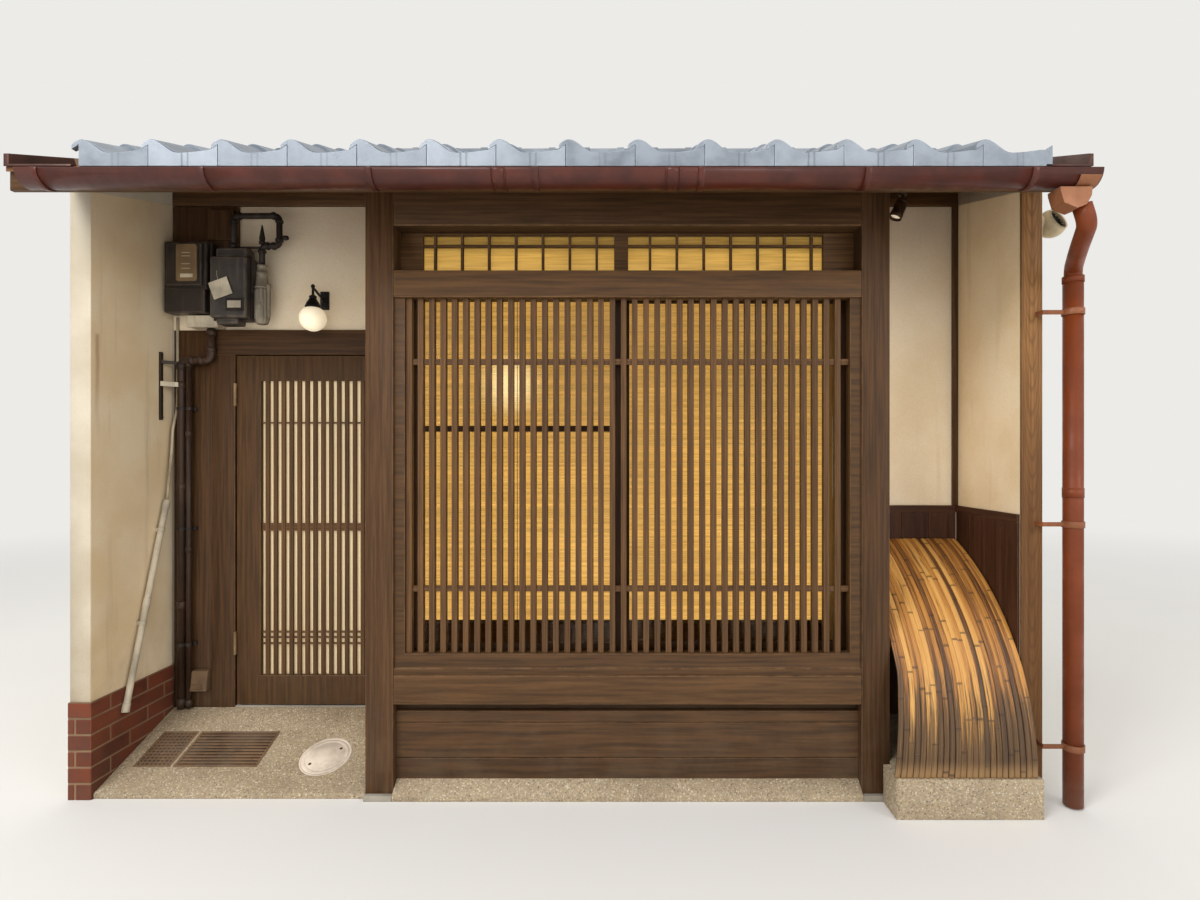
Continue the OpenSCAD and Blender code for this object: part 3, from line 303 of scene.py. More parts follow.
class Effects:
    """Shader node groups that several finishes share, each built once, and ways to lay them on a colour."""

    @staticmethod
    @cache
    def grain() -> Tree:
        """Builds wood grain that runs along the first coordinate of a map in metres.

        Returns:
            The group.
        """
        graph, given = Graph.start("wood_grain", {"Vector": "Vector", "Tone": 0.5, "Across": 90.0, "Figure": 3.0})
        along, across, _ = graph.split(given["Vector"])
        shift, lines = given["Tone"] * 37.0, across * given["Across"]
        streak = graph.noise(graph.combine(along * 3.0, lines, shift), 1.0, 4.0, 0.6)
        warp = graph.noise(graph.combine(along * 1.1, across * 9.0, shift), 1.0)
        rings = graph.math("PINGPONG", lines * 0.5 + warp * given["Figure"], 1.0)
        pores = graph.noise(graph.combine(along * 22.0, lines * 6.0, shift), 1.0, 1.0)
        return graph.end({"Streak": streak, "Rings": rings, "Pores": pores})

    @staticmethod
    @cache
    def dust() -> Tree:
        """Builds dust and splashes that gather near the ground, and on what faces up.

        Returns:
            The group.
        """
        graph, given = Graph.start("ground_dust", {"Vector": "Vector", "Top": 0.6, "Amount": 0.5, "Up": 0.3})
        height = graph.split(given["Vector"])[2]
        low = graph.math("SUBTRACT", 1.0, height / given["Top"], clamp=True)
        patch = graph.span(graph.noise(given["Vector"], 7.0, 5.0, 0.6), 0.35, 0.7)
        facing = graph.split(graph.add("ShaderNodeNewGeometry", out="Normal"))[2]
        lying = graph.span(facing, 0.5, 0.95) * (patch * given["Up"])
        return graph.end({"Mask": graph.math("ADD", low * patch * given["Amount"], lying, clamp=True)})

    @staticmethod
    @cache
    def wear() -> Tree:
        """Builds the mask of tinted edges, broken up by noise: wear, and on timber also a painted highlight.

        Returns:
            The group.
        """
        graph, given = Graph.start("edge_wear", {"Vector": "Vector", "Edge": 0.0, "Amount": 0.6})
        patch = graph.span(graph.noise(given["Vector"], 17.0, 5.0, 0.62), 0.28, 0.74)
        return graph.end({"Mask": given["Edge"] * patch * given["Amount"]})

    @staticmethod
    @cache
    def mottle() -> Tree:
        """Builds broad clouds, fine grit and faint runs down a wall.

        Returns:
            The group.
        """
        graph, given = Graph.start("mottle", {"Vector": "Vector", "Size": 1.0})
        place = graph.scaled(given["Vector"], given["Size"])
        x, y, z = graph.split(place)
        broad, fine = graph.noise(place, 2.6, 4.0, 0.55), graph.noise(place, 190.0)
        runs = graph.noise(graph.combine(x * 14.0, y * 14.0, z * 0.9), 1.0, 4.0, 0.6)
        return graph.end({"Broad": broad, "Fine": fine, "Runs": runs})

    @classmethod
    def rub(cls, colour: Value, tint: Colour, amount: float) -> Value:
        """Tints a colour's edges: wear, and on timber also a painted highlight along the arrises.

        Args:
            colour: The colour.
            tint: What shows on the edges.
            amount: How much of it shows.

        Returns:
            The colour with tinted edges.
        """
        graph = colour.graph
        feeds = {"Vector": graph.here, "Edge": graph.attribute("edge"), "Amount": amount}
        return graph.mix(graph.group(cls.wear(), feeds)[0], colour, tint)

    @classmethod
    def soil(cls, colour: Value, tint: Colour, top: float, amount: float, up: float) -> Value:
        """Lays dust on a colour.

        Args:
            colour: The colour.
            tint: The dust's colour.
            top: The height in metres that it reaches.
            amount: How much of it shows at the ground.
            up: How much of it lies on what faces up.

        Returns:
            The soiled colour.
        """
        graph = colour.graph
        feeds = {"Vector": graph.here, "Top": top, "Amount": amount, "Up": up}
        return graph.mix(graph.group(cls.dust(), feeds)[0], colour, tint)

    @classmethod
    def clouds(cls, place: Value, size: float) -> list[Value]:
        """Gives broad clouds, fine grit and runs at a place."""
        return place.graph.group(cls.mottle(), {"Vector": place, "Size": size})


# Finishes

class Finish:
    """A surface finish, whose material is made the first time that it is asked for."""

    name: str

    @cache
    def material(self) -> bpy.types.Material:
        """Makes the finish's material.

        Returns:
            The material.
        """
        material = bpy.data.materials.new(self.name)
        material.use_nodes = True
        material.node_tree.nodes.clear()
        graph = Graph(material.node_tree)
        shader = graph.add("ShaderNodeBsdfPrincipled", self.paint(graph))
        graph.node("ShaderNodeOutputMaterial", {"Surface": shader})
        return material

    def paint(self, graph: Graph) -> Feeds:
        """Gives what the shader's inputs take."""
        raise NotImplementedError


@dataclass(frozen=True)
class Timber(Finish):
    """Planed timber with grain along its length, edges lightened by wear and partly by a painted highlight, and dust
    low down.
    """

    name: str
    dark: Colour
    light: Colour
    # worn: the edges' tint, partly wear and partly a painted highlight along the arrises
    worn: Colour
    across: float = 90.0
    figure: float = 3.0
    rings: float = 0.35
    rough: float = 0.55
    dust: float = 0.35
    gloss: float = 0.25
    figured: Pair | None = None

    def paint(self, graph: Graph) -> Feeds:
        """Mixes streaks, rings, pores, wear and dust.

        Args:
            graph: The material's graph.

        Returns:
            What the shader's inputs take.
        """
        tone = graph.attribute("tone")
        feeds = {"Vector": graph.lengthwise, "Tone": tone, "Across": self.across, "Figure": self.figure}
        streak, rings, pores = graph.group(Effects.grain(), feeds)
        colour = graph.mix(graph.span(streak, *NOISE), self.dark, self.light)
        colour = graph.mix(graph.span(rings, 0.55, 1.0) * self.rings, colour, toned(self.dark, 0.55))
        colour = graph.mix(graph.span(pores, 0.55, 0.75, 0.0, 0.22), colour, toned(self.dark, 0.6))
        colour = graph.mix(1.0, colour, tone * 0.34 + 0.83, "MULTIPLY")
        if self.figured:
            colour = self.cathedral(graph, colour)
        # Lighter edges: partly wear, partly a painted highlight along the arrises.
        colour = Effects.rub(colour, self.worn, 0.6)
        return {
            "Base Color": Effects.soil(colour, (124, 108, 88), 0.55, self.dust, self.dust * 0.6),
            "Roughness": graph.span(streak, 0.2, 0.8, self.rough - 0.09, self.rough + 0.12),
            "Specular IOR Level": self.gloss,
            "Normal": graph.bump(streak + pores * 0.6, 0.6),
        }

    def cathedral(self, graph: Graph, colour: Value) -> Value:
        """Draws a flat-sawn board's nested arches, and darkens its lower part.

        Args:
            graph: The material's graph.
            colour: The board's colour.

        Returns:
            The figured colour.
        """
        middle, half = self.figured
        x, _, z = graph.split(graph.here)
        warp = graph.noise(graph.combine(x * 6.0, 0.0, z * 2.2), 1.0)
        level = z * 22.0 - graph.math("POWER", (x - middle) / half, 2.0) * 6.0
        lines = graph.math("PINGPONG", level + warp * 5.0, 1.0)
        colour = graph.mix(graph.span(lines, 0.5, 1.0, 0.0, 0.5), colour, toned(self.dark, 0.8))
        return graph.mix(graph.span(z, 1.2, 2.05, 0.6, 0.0), colour, (74, 45, 25))


@dataclass(frozen=True)
class Plaster(Finish):
    """Trowelled wall plaster with clouds, faint runs and grime at its foot."""

    name: str
    colour: Colour
    shade: Colour
    grime: Colour = (150, 126, 92)
    top: float = 0.9
    dirt: float = 0.3
    stain: Triple | None = None

    def paint(self, graph: Graph) -> Feeds:
        """Mixes clouds, runs, grit and grime.

        Args:
            graph: The material's graph.

        Returns:
            What the shader's inputs take.
        """
        broad, fine, runs = Effects.clouds(graph.here, 1.0)
        colour = graph.mix(graph.span(broad, 0.35, 0.68), self.colour, self.shade)
        colour = graph.mix(graph.span(runs, 0.58, 0.8, 0.0, self.dirt * 0.6), colour, self.grime)
        colour = graph.mix(graph.span(fine, 0.35, 0.7, 0.0, 0.1), colour, self.grime)
        colour = Effects.soil(colour, self.grime, self.top, self.dirt, 0.1)
        if self.stain:
            colour = self.streaked(graph, colour)
        return {
            "Base Color": colour,
            "Roughness": graph.span(fine, *NOISE, 0.82, 0.94),
            "Normal": graph.bump(broad * 4.0 + fine, 0.7),
        }

    def streaked(self, graph: Graph, colour: Value) -> Value:
        """Adds the rusty run down the wall on the left.

        Args:
            graph: The material's graph.
            colour: The wall's colour.

        Returns:
            The stained colour.
        """
        middle, low, high = self.stain
        x, y, z = graph.split(graph.here)
        bend = (graph.noise(graph.combine(0.0, 0.0, z * 5.0), 1.0) - 0.5) * 0.03
        near = graph.math("ABSOLUTE", y + bend - middle)
        run = graph.span(near, 0.0, 0.018, 0.5, 0.0) * graph.span(z, low, high)
        run = run * graph.span(z, high, high + 0.02, 1.0, 0.0) * graph.math("LESS_THAN", x, 0.0)
        return graph.mix(run, colour, (140, 84, 48))


@dataclass(frozen=True)
class Pebble(Finish):
    """Washed pebbles in cement: small stones of several colours with mortar between."""

    name: str
    stones: tuple[Colour, ...]
    cement: Colour
    size: float = 7.0

    def paint(self, graph: Graph) -> Feeds:
        """Lays stones in cement.

        Args:
            graph: The material's graph.

        Returns:
            What the shader's inputs take.
        """
        cells = {"Vector": graph.here, "Scale": 1000 / self.size, "Randomness": 1.0}
        away = graph.add("ShaderNodeTexVoronoi", cells, "Distance")
        kind, bright, dull = graph.split(away.beside("Color"))
        colour = graph.ramp(kind, [(i / (len(self.stones) - 1), c) for i, c in enumerate(self.stones)])
        colour = graph.mix(1.0, colour, bright * 0.35 + 0.78, "MULTIPLY")
        colour = graph.mix(graph.span(away, 0.42, 0.62), colour, self.cement)
        broad = Effects.clouds(graph.here, 1.5)[0]
        return {
            "Base Color": graph.mix(graph.span(broad, 0.42, 0.7, 0.0, 0.3), colour, (118, 98, 74)),
            "Roughness": graph.span(dull, 0.0, 1.0, 0.55, 0.85),
            "Normal": graph.bump(1.0 - graph.span(away, 0.1, 0.6), 1.6),
        }


@dataclass(frozen=True)
class Fired(Finish):
    """Fired clay, as bricks and roof tiles are: a tone for each piece, clouds and pits."""

    name: str
    dark: Colour
    light: Colour
    rough: float = 0.6
    shine: float = 0.0
    moss: Colour = (84, 82, 70)
    dust: float = 0.3
    drips: Pair | None = None
    troughs: Triple | None = None

    def paint(self, graph: Graph) -> Feeds:
        """Mixes each piece's tone with clouds, pits and weathering.

        Args:
            graph: The material's graph.

        Returns:
            What the shader's inputs take.
        """
        tone = graph.attribute("tone")
        place = graph.vector("ADD", graph.here, graph.combine(tone * 9.0, tone, tone))
        broad, fine, runs = Effects.clouds(place, 4.0)
        share = graph.math("MINIMUM", tone * 0.6 + graph.span(broad, *NOISE) * 0.5, 1.0)
        colour = Effects.rub(graph.mix(share, self.dark, self.light), toned(self.light, 1.25), 0.4)
        colour = Effects.soil(colour, self.moss, 0.4, self.dust, self.dust)
        # Painted shade in the wave tiles' troughs.
        if self.troughs:
            colour = self.shaded_troughs(graph, runs, colour)
        if self.drips:
            colour = self.dripped(graph, tone, colour)
        return {
            "Base Color": colour,
            "Metallic": self.shine,
            "Roughness": graph.span(broad, *NOISE, self.rough - 0.08, self.rough + 0.14),
            "Normal": graph.bump(fine + broad * 2.0, 0.5),
        }

    def shaded_troughs(self, graph: Graph, runs: Value, colour: Value) -> Value:
        """Paints shade in the troughs of both slopes' wave tiles.

        Args:
            graph: The material's graph.
            runs: The noise that breaks the painted shade up.
            colour: The tiles' colour.

        Returns:
            The colour with painted shade in the troughs.
        """
        first, pitch, ridge = self.troughs
        x, y, _ = graph.split(graph.here)
        side = 1.0 - graph.math("GREATER_THAN", y, ridge) * 2.0
        along = graph.math("FRACT", side * ((x - first) / pitch))
        away = graph.math("ABSOLUTE", along - 0.6)
        share = graph.span(away, 0.03, 0.24, 0.62, 0.0) * graph.span(runs, 0.25, 0.7, 0.55, 1.0)
        # A grey painted shade, strongest in the middle of each trough.
        return graph.mix(share, colour, (64, 68, 70))

    def dripped(self, graph: Graph, tone: Value, colour: Value) -> Value:
        """Runs two dark drips down each eave tile.

        Args:
            graph: The material's graph.
            tone: Each tile's tone.
            colour: The tiles' colour.

        Returns:
            The streaked colour.
        """
        first, pitch = self.drips
        along = graph.math("FRACT", (graph.split(graph.here)[0] - first) / pitch)
        along = along + (graph.noise(graph.here, 40.0) - 0.5) * 0.02
        for middle, depth in ((0.59, 0.6), (0.675, 0.5)):
            near = graph.math("ABSOLUTE", along - middle)
            colour = graph.mix(graph.span(near, 0.003, 0.022, depth, 0.0) * (tone * 0.7 + 0.3), colour, (62, 66, 72))
        return colour


@dataclass(frozen=True)
class Metal(Finish):
    """Painted or bare metal with worn edges, dull patches and streaks."""

    name: str
    colour: Colour
    worn: Colour
    metallic: float = 0.0
    rough: float = 0.42
    streaks: float = 0.35
    coat: float = 0.0
    clouds: float = 0.7

    def paint(self, graph: Graph) -> Feeds:
        """Mixes patches, streaks and wear.

        Args:
            graph: The material's graph.

        Returns:
            What the shader's inputs take.
        """
        broad, fine, runs = Effects.clouds(graph.here, 3.0)
        deep = toned(self.colour, 0.62)
        colour = graph.mix(graph.span(broad, 0.32, 0.7, 0.0, self.clouds), self.colour, deep)
        colour = graph.mix(graph.span(runs, 0.52, 0.74, 0.0, self.streaks), colour, self.worn)
        colour = Effects.rub(colour, self.worn, 0.7)
        return {
            "Base Color": Effects.soil(colour, (112, 98, 82), 0.35, 0.5, 0.25),
            "Metallic": self.metallic,
            "Specular IOR Level": 0.35,
            "Coat Weight": self.coat,
            "Roughness": graph.span(broad, *NOISE, self.rough - 0.1, self.rough + 0.15),
            "Normal": graph.bump(broad + fine * 0.2, 0.5),
        }


@dataclass(frozen=True)
class Bamboo(Finish):
    """Split bamboo: glossy skin with long streaks, dark ring nodes and a foot darkened by weathering and partly by
    painted shade.
    """

    name: str
    skins: tuple[tuple[float, Colour], ...]
    # greys: the foot's colours, for weathering and partly painted shade
    greys: tuple[tuple[float, Colour], ...]
    soot: Colour
    pale: Colour
    foot: float = 0.62

    def paint(self, graph: Graph) -> Feeds:
        """Mixes streaks, rings and weathering.

        Args:
            graph: The material's graph.

        Returns:
            What the shader's inputs take.
        """
        tone, ring, height = graph.attribute("tone"), graph.attribute("ring"), graph.split(graph.here)[2]
        feeds = {"Vector": graph.lengthwise, "Tone": tone, "Across": 260.0, "Figure": 0.6}
        streak, _, pores = graph.group(Effects.grain(), feeds)
        colour = graph.ramp(graph.span(streak, *NOISE) * 0.3 + tone * 0.7, self.skins)
        drawn = graph.vector("MULTIPLY", graph.lengthwise, (4.0, 110.0, 1.0))
        soot = graph.noise(graph.vector("ADD", drawn, graph.combine(0.0, 0.0, tone * 31.0)), 1.0, 4.0, 0.6)
        colour = graph.mix(graph.span(soot, 0.56, 0.7, 0.0, 0.75), colour, self.soot)
        level = height + ((soot - 0.5) * 0.9 + tone * 0.16)
        # The foot darkens by weathering, and partly by painted shade.
        foot_weather_and_shade = graph.span(level, self.foot - 0.16, self.foot + 0.04, 0.92, 0.0)
        colour = graph.mix(foot_weather_and_shade, colour, graph.ramp(streak, self.greys))
        colour = graph.mix(graph.span(height, 0.175, 0.235, 0.6, 0.0), colour, self.pale)
        colour = graph.mix(graph.span(ring, 0.15, 0.6, 0.0, 0.7), colour, self.soot)
        return {
            "Base Color": graph.mix(graph.span(ring, 0.82, 1.0, 0.0, 0.7), colour, self.pale),
            "Roughness": graph.span(soot, *NOISE, 0.34, 0.6),
            "Normal": graph.bump(streak + pores, 0.4),
        }


@dataclass(frozen=True)
class Glowing(Finish):
    """A pale translucent surface that glows: on the blinds and the door's sheet the glow is painted room light from
    behind; on the lamp's globe and the spotlight's lens it is their own light.
    """

    name: str
    colour: Colour
    shade: Colour
    # glow, low, high, dim, even and spot paint the light behind: its strength, the heights between which it fades to
    # dim (painted shade), how even it is, and a painted pool of light.
    glow: float
    low: float
    high: float
    dim: float = 0.35
    fibres: float = 0.25
    rough: float = 0.6
    even: float = 0.45
    spot: Pair | None = None

    def paint(self, graph: Graph) -> Feeds:
        """Mixes fibres and the painted clouds of light behind.

        Args:
            graph: The material's graph.

        Returns:
            What the shader's inputs take.
        """
        tone = graph.attribute("tone")
        x, _, z = graph.split(graph.here)
        threads = graph.noise(graph.combine(x * 5.0, tone, z * 130.0), 1.0, 3.0)
        colour = graph.mix(graph.span(threads, *NOISE, 0.0, self.fibres), self.colour, self.shade)
        colour = graph.mix(1.0, colour, tone * 0.3 + 0.85, "MULTIPLY")
        cloud = graph.noise(graph.combine(x * 2.4, 3.0, z * 1.3), 1.0, 1.0)
        # Painted light: dimmer at one end of the heights, and in clouds.
        light = graph.span(z, self.low, self.high, self.dim) * graph.span(cloud, *NOISE, self.even)
        lit = graph.mix(1.0, colour, light, "MULTIPLY")
        if self.spot:
            # A painted pool of brighter light round the spot.
            away = graph.length(graph.combine(x - self.spot[0], 0.0, z - self.spot[1]))
            lit = graph.mix(graph.span(away, 0.02, 0.17, 0.9, 0.0), lit, (255, 232, 176))
        return {
            "Base Color": colour,
            "Emission Color": lit,
            "Emission Strength": self.glow,
            "Roughness": graph.span(threads, *NOISE, self.rough - 0.1, self.rough + 0.1),
            "Normal": graph.bump(threads, 0.2),
        }


@dataclass(frozen=True)
class Pane(Finish):
    """Thin window glass."""

    name: str = "window_pane"

    def paint(self, graph: Graph) -> Feeds:
        """Sets clear glass with slightly uneven faces.

        Args:
            graph: The material's graph.

        Returns:
            What the shader's inputs take.
        """
        return {
            "Transmission Weight": 1.0,
            "IOR": 1.2,
            "Base Color": graph.mix(graph.noise(graph.here, 3.0), (240, 244, 240), (224, 232, 226)),
            "Roughness": graph.span(graph.noise(graph.here, 12.0, 4.0), 0.4, 0.7, 0.02, 0.09),
            "Normal": graph.bump(graph.noise(graph.here, 5.0), 0.3, 0.08),
        }


CEDAR = Timber("stained_cedar", (61, 40, 22), (86, 59, 34), (122, 90, 60), rings=0.2, dust=0.16)
BEAM = Timber("stained_beam", (66, 45, 25), (92, 64, 37), (128, 96, 64), 70.0, rings=0.2, dust=0.16)
SLIM = Timber("stained_bars", (72, 49, 28), (104, 73, 43), (134, 100, 66), 150.0, 1.2, 0.2, dust=0.1)
BOARD = Timber("stained_boards", (62, 42, 24), (84, 58, 34), (118, 86, 56), 60.0, 5.0, 0.3, dust=0.16)
REDDISH = Timber("recess_cedar", (56, 32, 20), (80, 49, 31), (110, 74, 50), 60.0, 5.0, 0.3, dust=0.16)
SOFFIT = Timber("soffit_cedar", (96, 60, 36), (140, 96, 60), (150, 112, 76), 70.0, 4.0, dust=0.0)
NATURAL = Timber("natural_board", (118, 80, 43), (158, 113, 66), (140, 102, 62), 120.0, 2.0, 0.1, dust=0.1,
                 figured=(2.021, 0.044))
INSIDE = Timber("floor_boards", (120, 84, 54), (160, 118, 78), (150, 116, 84), 60.0, dust=0.1, gloss=0.05)
RAIL = Timber("fence_rail", (96, 64, 36), (136, 96, 56), (150, 116, 80), 120.0)

CREAM = Plaster("cream_plaster", (241, 225, 198), (233, 213, 180))
STAINED = Plaster("stained_plaster", (240, 221, 188), (230, 205, 164), dirt=0.5, stain=(0.035, 1.45, 1.98))
OUTER = Plaster("party_wall_render", (206, 196, 176), (188, 176, 154), top=1.2, dirt=0.5)
STONE = Plaster("cut_stone", (168, 160, 146), (142, 134, 120), (96, 88, 76), 0.3)
MORTAR = Plaster("pale_mortar", (134, 106, 80), (112, 88, 66), top=0.5)
PEBBLES = Pebble("washed_pebbles", ((118, 102, 82), (196, 176, 146), (156, 134, 106), (218, 204, 178),
                                    (138, 126, 110), (204, 180, 144)), (166, 148, 120))

BRICK = Fired("red_brick", (76, 35, 20), (118, 58, 33), rough=0.75, moss=(104, 84, 62), dust=0.2)
ROOF_TILE = Fired("smoked_tile", (108, 116, 126), (156, 164, 174), 0.42, 0.25, dust=0.2,
                  troughs=(-1.817, 0.265, 2.304))
RIDGE_TILE = Fired("smoked_ridge_tile", (108, 116, 126), (156, 164, 174), 0.42, 0.25, dust=0.2)
EAVE_TILE = Fired("smoked_eave_tile", (112, 120, 130), (162, 170, 180), 0.42, 0.25, dust=0.1,
                  drips=(-1.817, 0.265))

GUTTER_PAINT = Metal("gutter_paint", (84, 36, 25), (58, 34, 26), coat=0.1)
PIPE_PAINT = Metal("pipe_paint", (122, 54, 18), (86, 44, 22), rough=0.45, clouds=0.3)
PIPE_BAND = Metal("band_paint", (142, 86, 54), (100, 62, 40), rough=0.45, clouds=0.3)
COPPER = Metal("aged_copper", (150, 98, 66), (108, 72, 50), 0.2, 0.5, clouds=0.35)
FLASHING = Metal("flashing_metal", (84, 52, 42), (62, 46, 40), 0.3, 0.45)
BLACK = Metal("black_metal", (34, 32, 31), (84, 78, 70), 0.6, 0.4)
HINGE = Metal("hinge_bronze", (158, 128, 92), (112, 90, 66), 0.4, 0.38)
METER = Metal("meter_grey", (50, 43, 39), (84, 72, 62), rough=0.4)
GAS = Metal("gas_grey", (66, 60, 55), (104, 94, 82), rough=0.45)
PIPE_GREY = Metal("pipe_dark", (52, 44, 39), (92, 78, 66), 0.3, 0.5)
GAS_PALE = Metal("gas_pale", (150, 140, 122), (96, 84, 70), 0.2, 0.45)
PIPE_BROWN = Metal("pipe_brown", (58, 40, 29), (92, 72, 54), rough=0.45, coat=0.05)
IVORY = Metal("ivory_plastic", (208, 196, 172), (150, 134, 108), rough=0.5, streaks=0.5)
DULL = Metal("dull_plastic", (124, 98, 72), (84, 64, 46), rough=0.5, streaks=0.5)
THIN = Metal("thin_conduit_paint", (188, 172, 144), (120, 104, 82), rough=0.55)
VENT = Metal("vent_paint", (204, 184, 148), (146, 124, 92), rough=0.4, streaks=0.4)
WINDOW = Metal("meter_cover", (132, 108, 78), (96, 78, 58), rough=0.12, coat=0.8, streaks=0.1)
BRONZE = Metal("spotlight_bronze", (84, 62, 46), (128, 98, 70), 0.5, 0.4)
RUST = Metal("cast_cover", (136, 106, 78), (166, 134, 100), 0.15, 0.6)
# A dark colour painted as the shade inside the grates' pits and the lid's holes.
PIT_SHADE = Metal("dark_pit", (66, 48, 36), (98, 76, 56), rough=0.8)
LID = Metal("pale_cover", (232, 216, 198), (190, 168, 142), rough=0.75, clouds=0.15, streaks=0.2)

SKIN = Bamboo(
    "bamboo_skin",
    skins=((0.12, (70, 42, 20)), (0.26, (118, 74, 34)), (0.42, (172, 114, 52)), (0.7, (200, 142, 66)),
           (0.95, (216, 164, 92))),
    greys=((0.3, (46, 32, 20)), (0.55, (80, 59, 36)), (0.75, (116, 88, 54))),
    soot=(50, 30, 16), pale=(160, 124, 80))
# The blinds glow with painted room light, dimmer towards the top (painted shade) and with a painted pool of light.
REED = Glowing("blind_reed", (222, 176, 96), (176, 126, 58), 1.12, 2.1, 0.9, 0.66, 0.5, even=0.78,
               spot=(-0.224, 1.783))
# The transom sheet glows with painted room light, dimmer at its top (painted shade).
HIGH_REED = Glowing("transom_reed", (216, 166, 84), (166, 116, 50), 0.92, 2.41, 2.35, 0.3, 0.5, even=0.8)
# The door's paper sheet glows with painted room light, dimmer towards its foot (painted shade).
SHOJI = Glowing("door_sheet", (230, 208, 166), (204, 178, 134), 0.32, 0.4, 1.9, 0.6, 0.15)
OPAL = Glowing("opal_glass", (250, 236, 206), (240, 220, 180), 0.55, 2.0, 2.1, 0.9, 0.1, 0.2)
GLASS = Pane()


# Meshes

END_GRAIN = 0.2  # how far the grain runs on an end, against its run along a side
SPREAD = 9  # metres over which the solids' maps are shifted, so that no two have the same grain
TIP = 0.05  # the least radius of a turned shape, which keeps its ends closed
WELD = 2e-5  # metres within which a solid's points are joined
FLAT = 0.01  # radians up to which neighbouring faces count as one
SHARP = math.radians(40)  # the least turn between two faces that is rounded
ASIDE = 0.31  # metres by which the maps of sides that face different ways are shifted


class Axis(Enum):
    """The three directions of the row frame."""

    X = 0
    Y = 1
    Z = 2

    def point(self, along: float, a: float, b: float) -> Vector:
        """Gives a point by its place along the axis and its places in the two other directions."""
        places = [a, b]
        places.insert(self.value, along)
        return Vector(places)


class Side(Enum):
    """The street side and the back, which mirrors it about the ridge."""

    FRONT = "front"
    BACK = "back"

    def turned(self, x: float, y: float, z: float) -> Vector:
        """Gives a point at the front, or the same place at the back."""
        return Vector((x, y if self is Side.FRONT else 2 * RIDGE_Y - y, z))


RIDGE_Y = 2304.0


def arc(r: float, start: float, end: float, steps: int, middle: Pair = (0.0, 0.0)) -> list[Pair]:
    """Gives points along an arc.

    Args:
        r: Its radius.
        start: The angle it starts at, in degrees.
        end: The angle it ends at.
        steps: Steps between its points.
        middle: Its middle.

    Returns:
        The points, with both ends.
    """
    turns = [math.radians(start + (end - start) * k / steps) for k in range(steps + 1)]
    return [(middle[0] + r * math.cos(t), middle[1] + r * math.sin(t)) for t in turns]


def band(outer: float, inner: float, start: float, end: float, steps: int, middle: Pair = (0.0, 0.0)) -> list[Pair]:
    """Gives the outline of a strip bent along an arc, between an outer and an inner radius."""
    return arc(outer, start, end, steps, middle) + arc(inner, end, start, steps, middle)


def circle(middle: Vector, a: Vector, b: Vector, r: float, sides: int) -> list[Vector]:
    """Gives points round a circle.

    Args:
        middle: Its middle.
        a: A direction in its plane.
        b: The direction across that one.
        r: Its radius.
        sides: How many points.

    Returns:
        The points.
    """
    turns = [math.tau * k / sides for k in range(sides)]
    return [middle + (a * math.cos(t) + b * math.sin(t)) * r for t in turns]


def rounded(path: Sequence[Place], radius: float, steps: int = 6) -> list[Vector]:
    """Replaces the corners of a path by bends.

    Args:
        path: The corner points.
        radius: How far from a corner its bend starts.
        steps: Steps in a bend.

    Returns:
        The points of the bent path.
    """
    path = [Vector(p) for p in path]
    found = [path[0]]
    for before, corner, after in zip(path, path[1:], path[2:]):
        reach = min(radius, (before - corner).length * 0.48, (after - corner).length * 0.48)
        a, b = (corner + (end - corner).normalized() * reach for end in (before, after))
        for i in range(steps + 1):
            t = i / steps
            found.append(a * (1 - t) ** 2 + corner * 2 * t * (1 - t) + b * t ** 2)
    return found + [path[-1]]


def distances(path: list[Vector]) -> list[float]:
    """Gives how far each point lies along a path.

    Args:
        path: The points.

    Returns:
        A distance for each point.
    """
    found = [0.0]
    for a, b in zip(path, path[1:]):
        found.append(found[-1] + (b - a).length)
    return found


def volume(points: list[Vector], faces: list[list[int]]) -> float:
    """Measures a closed solid.

    Args:
        points: Its points.
        faces: Its faces.

    Returns:
        Six times its volume, and less than 0 where its faces look inwards.
    """
    total = 0.0
    for face in faces:
        a, *rest = [points[i] - points[0] for i in face]
        total += sum(a.dot(b.cross(c)) for b, c in zip(rest, rest[1:]))
    return total


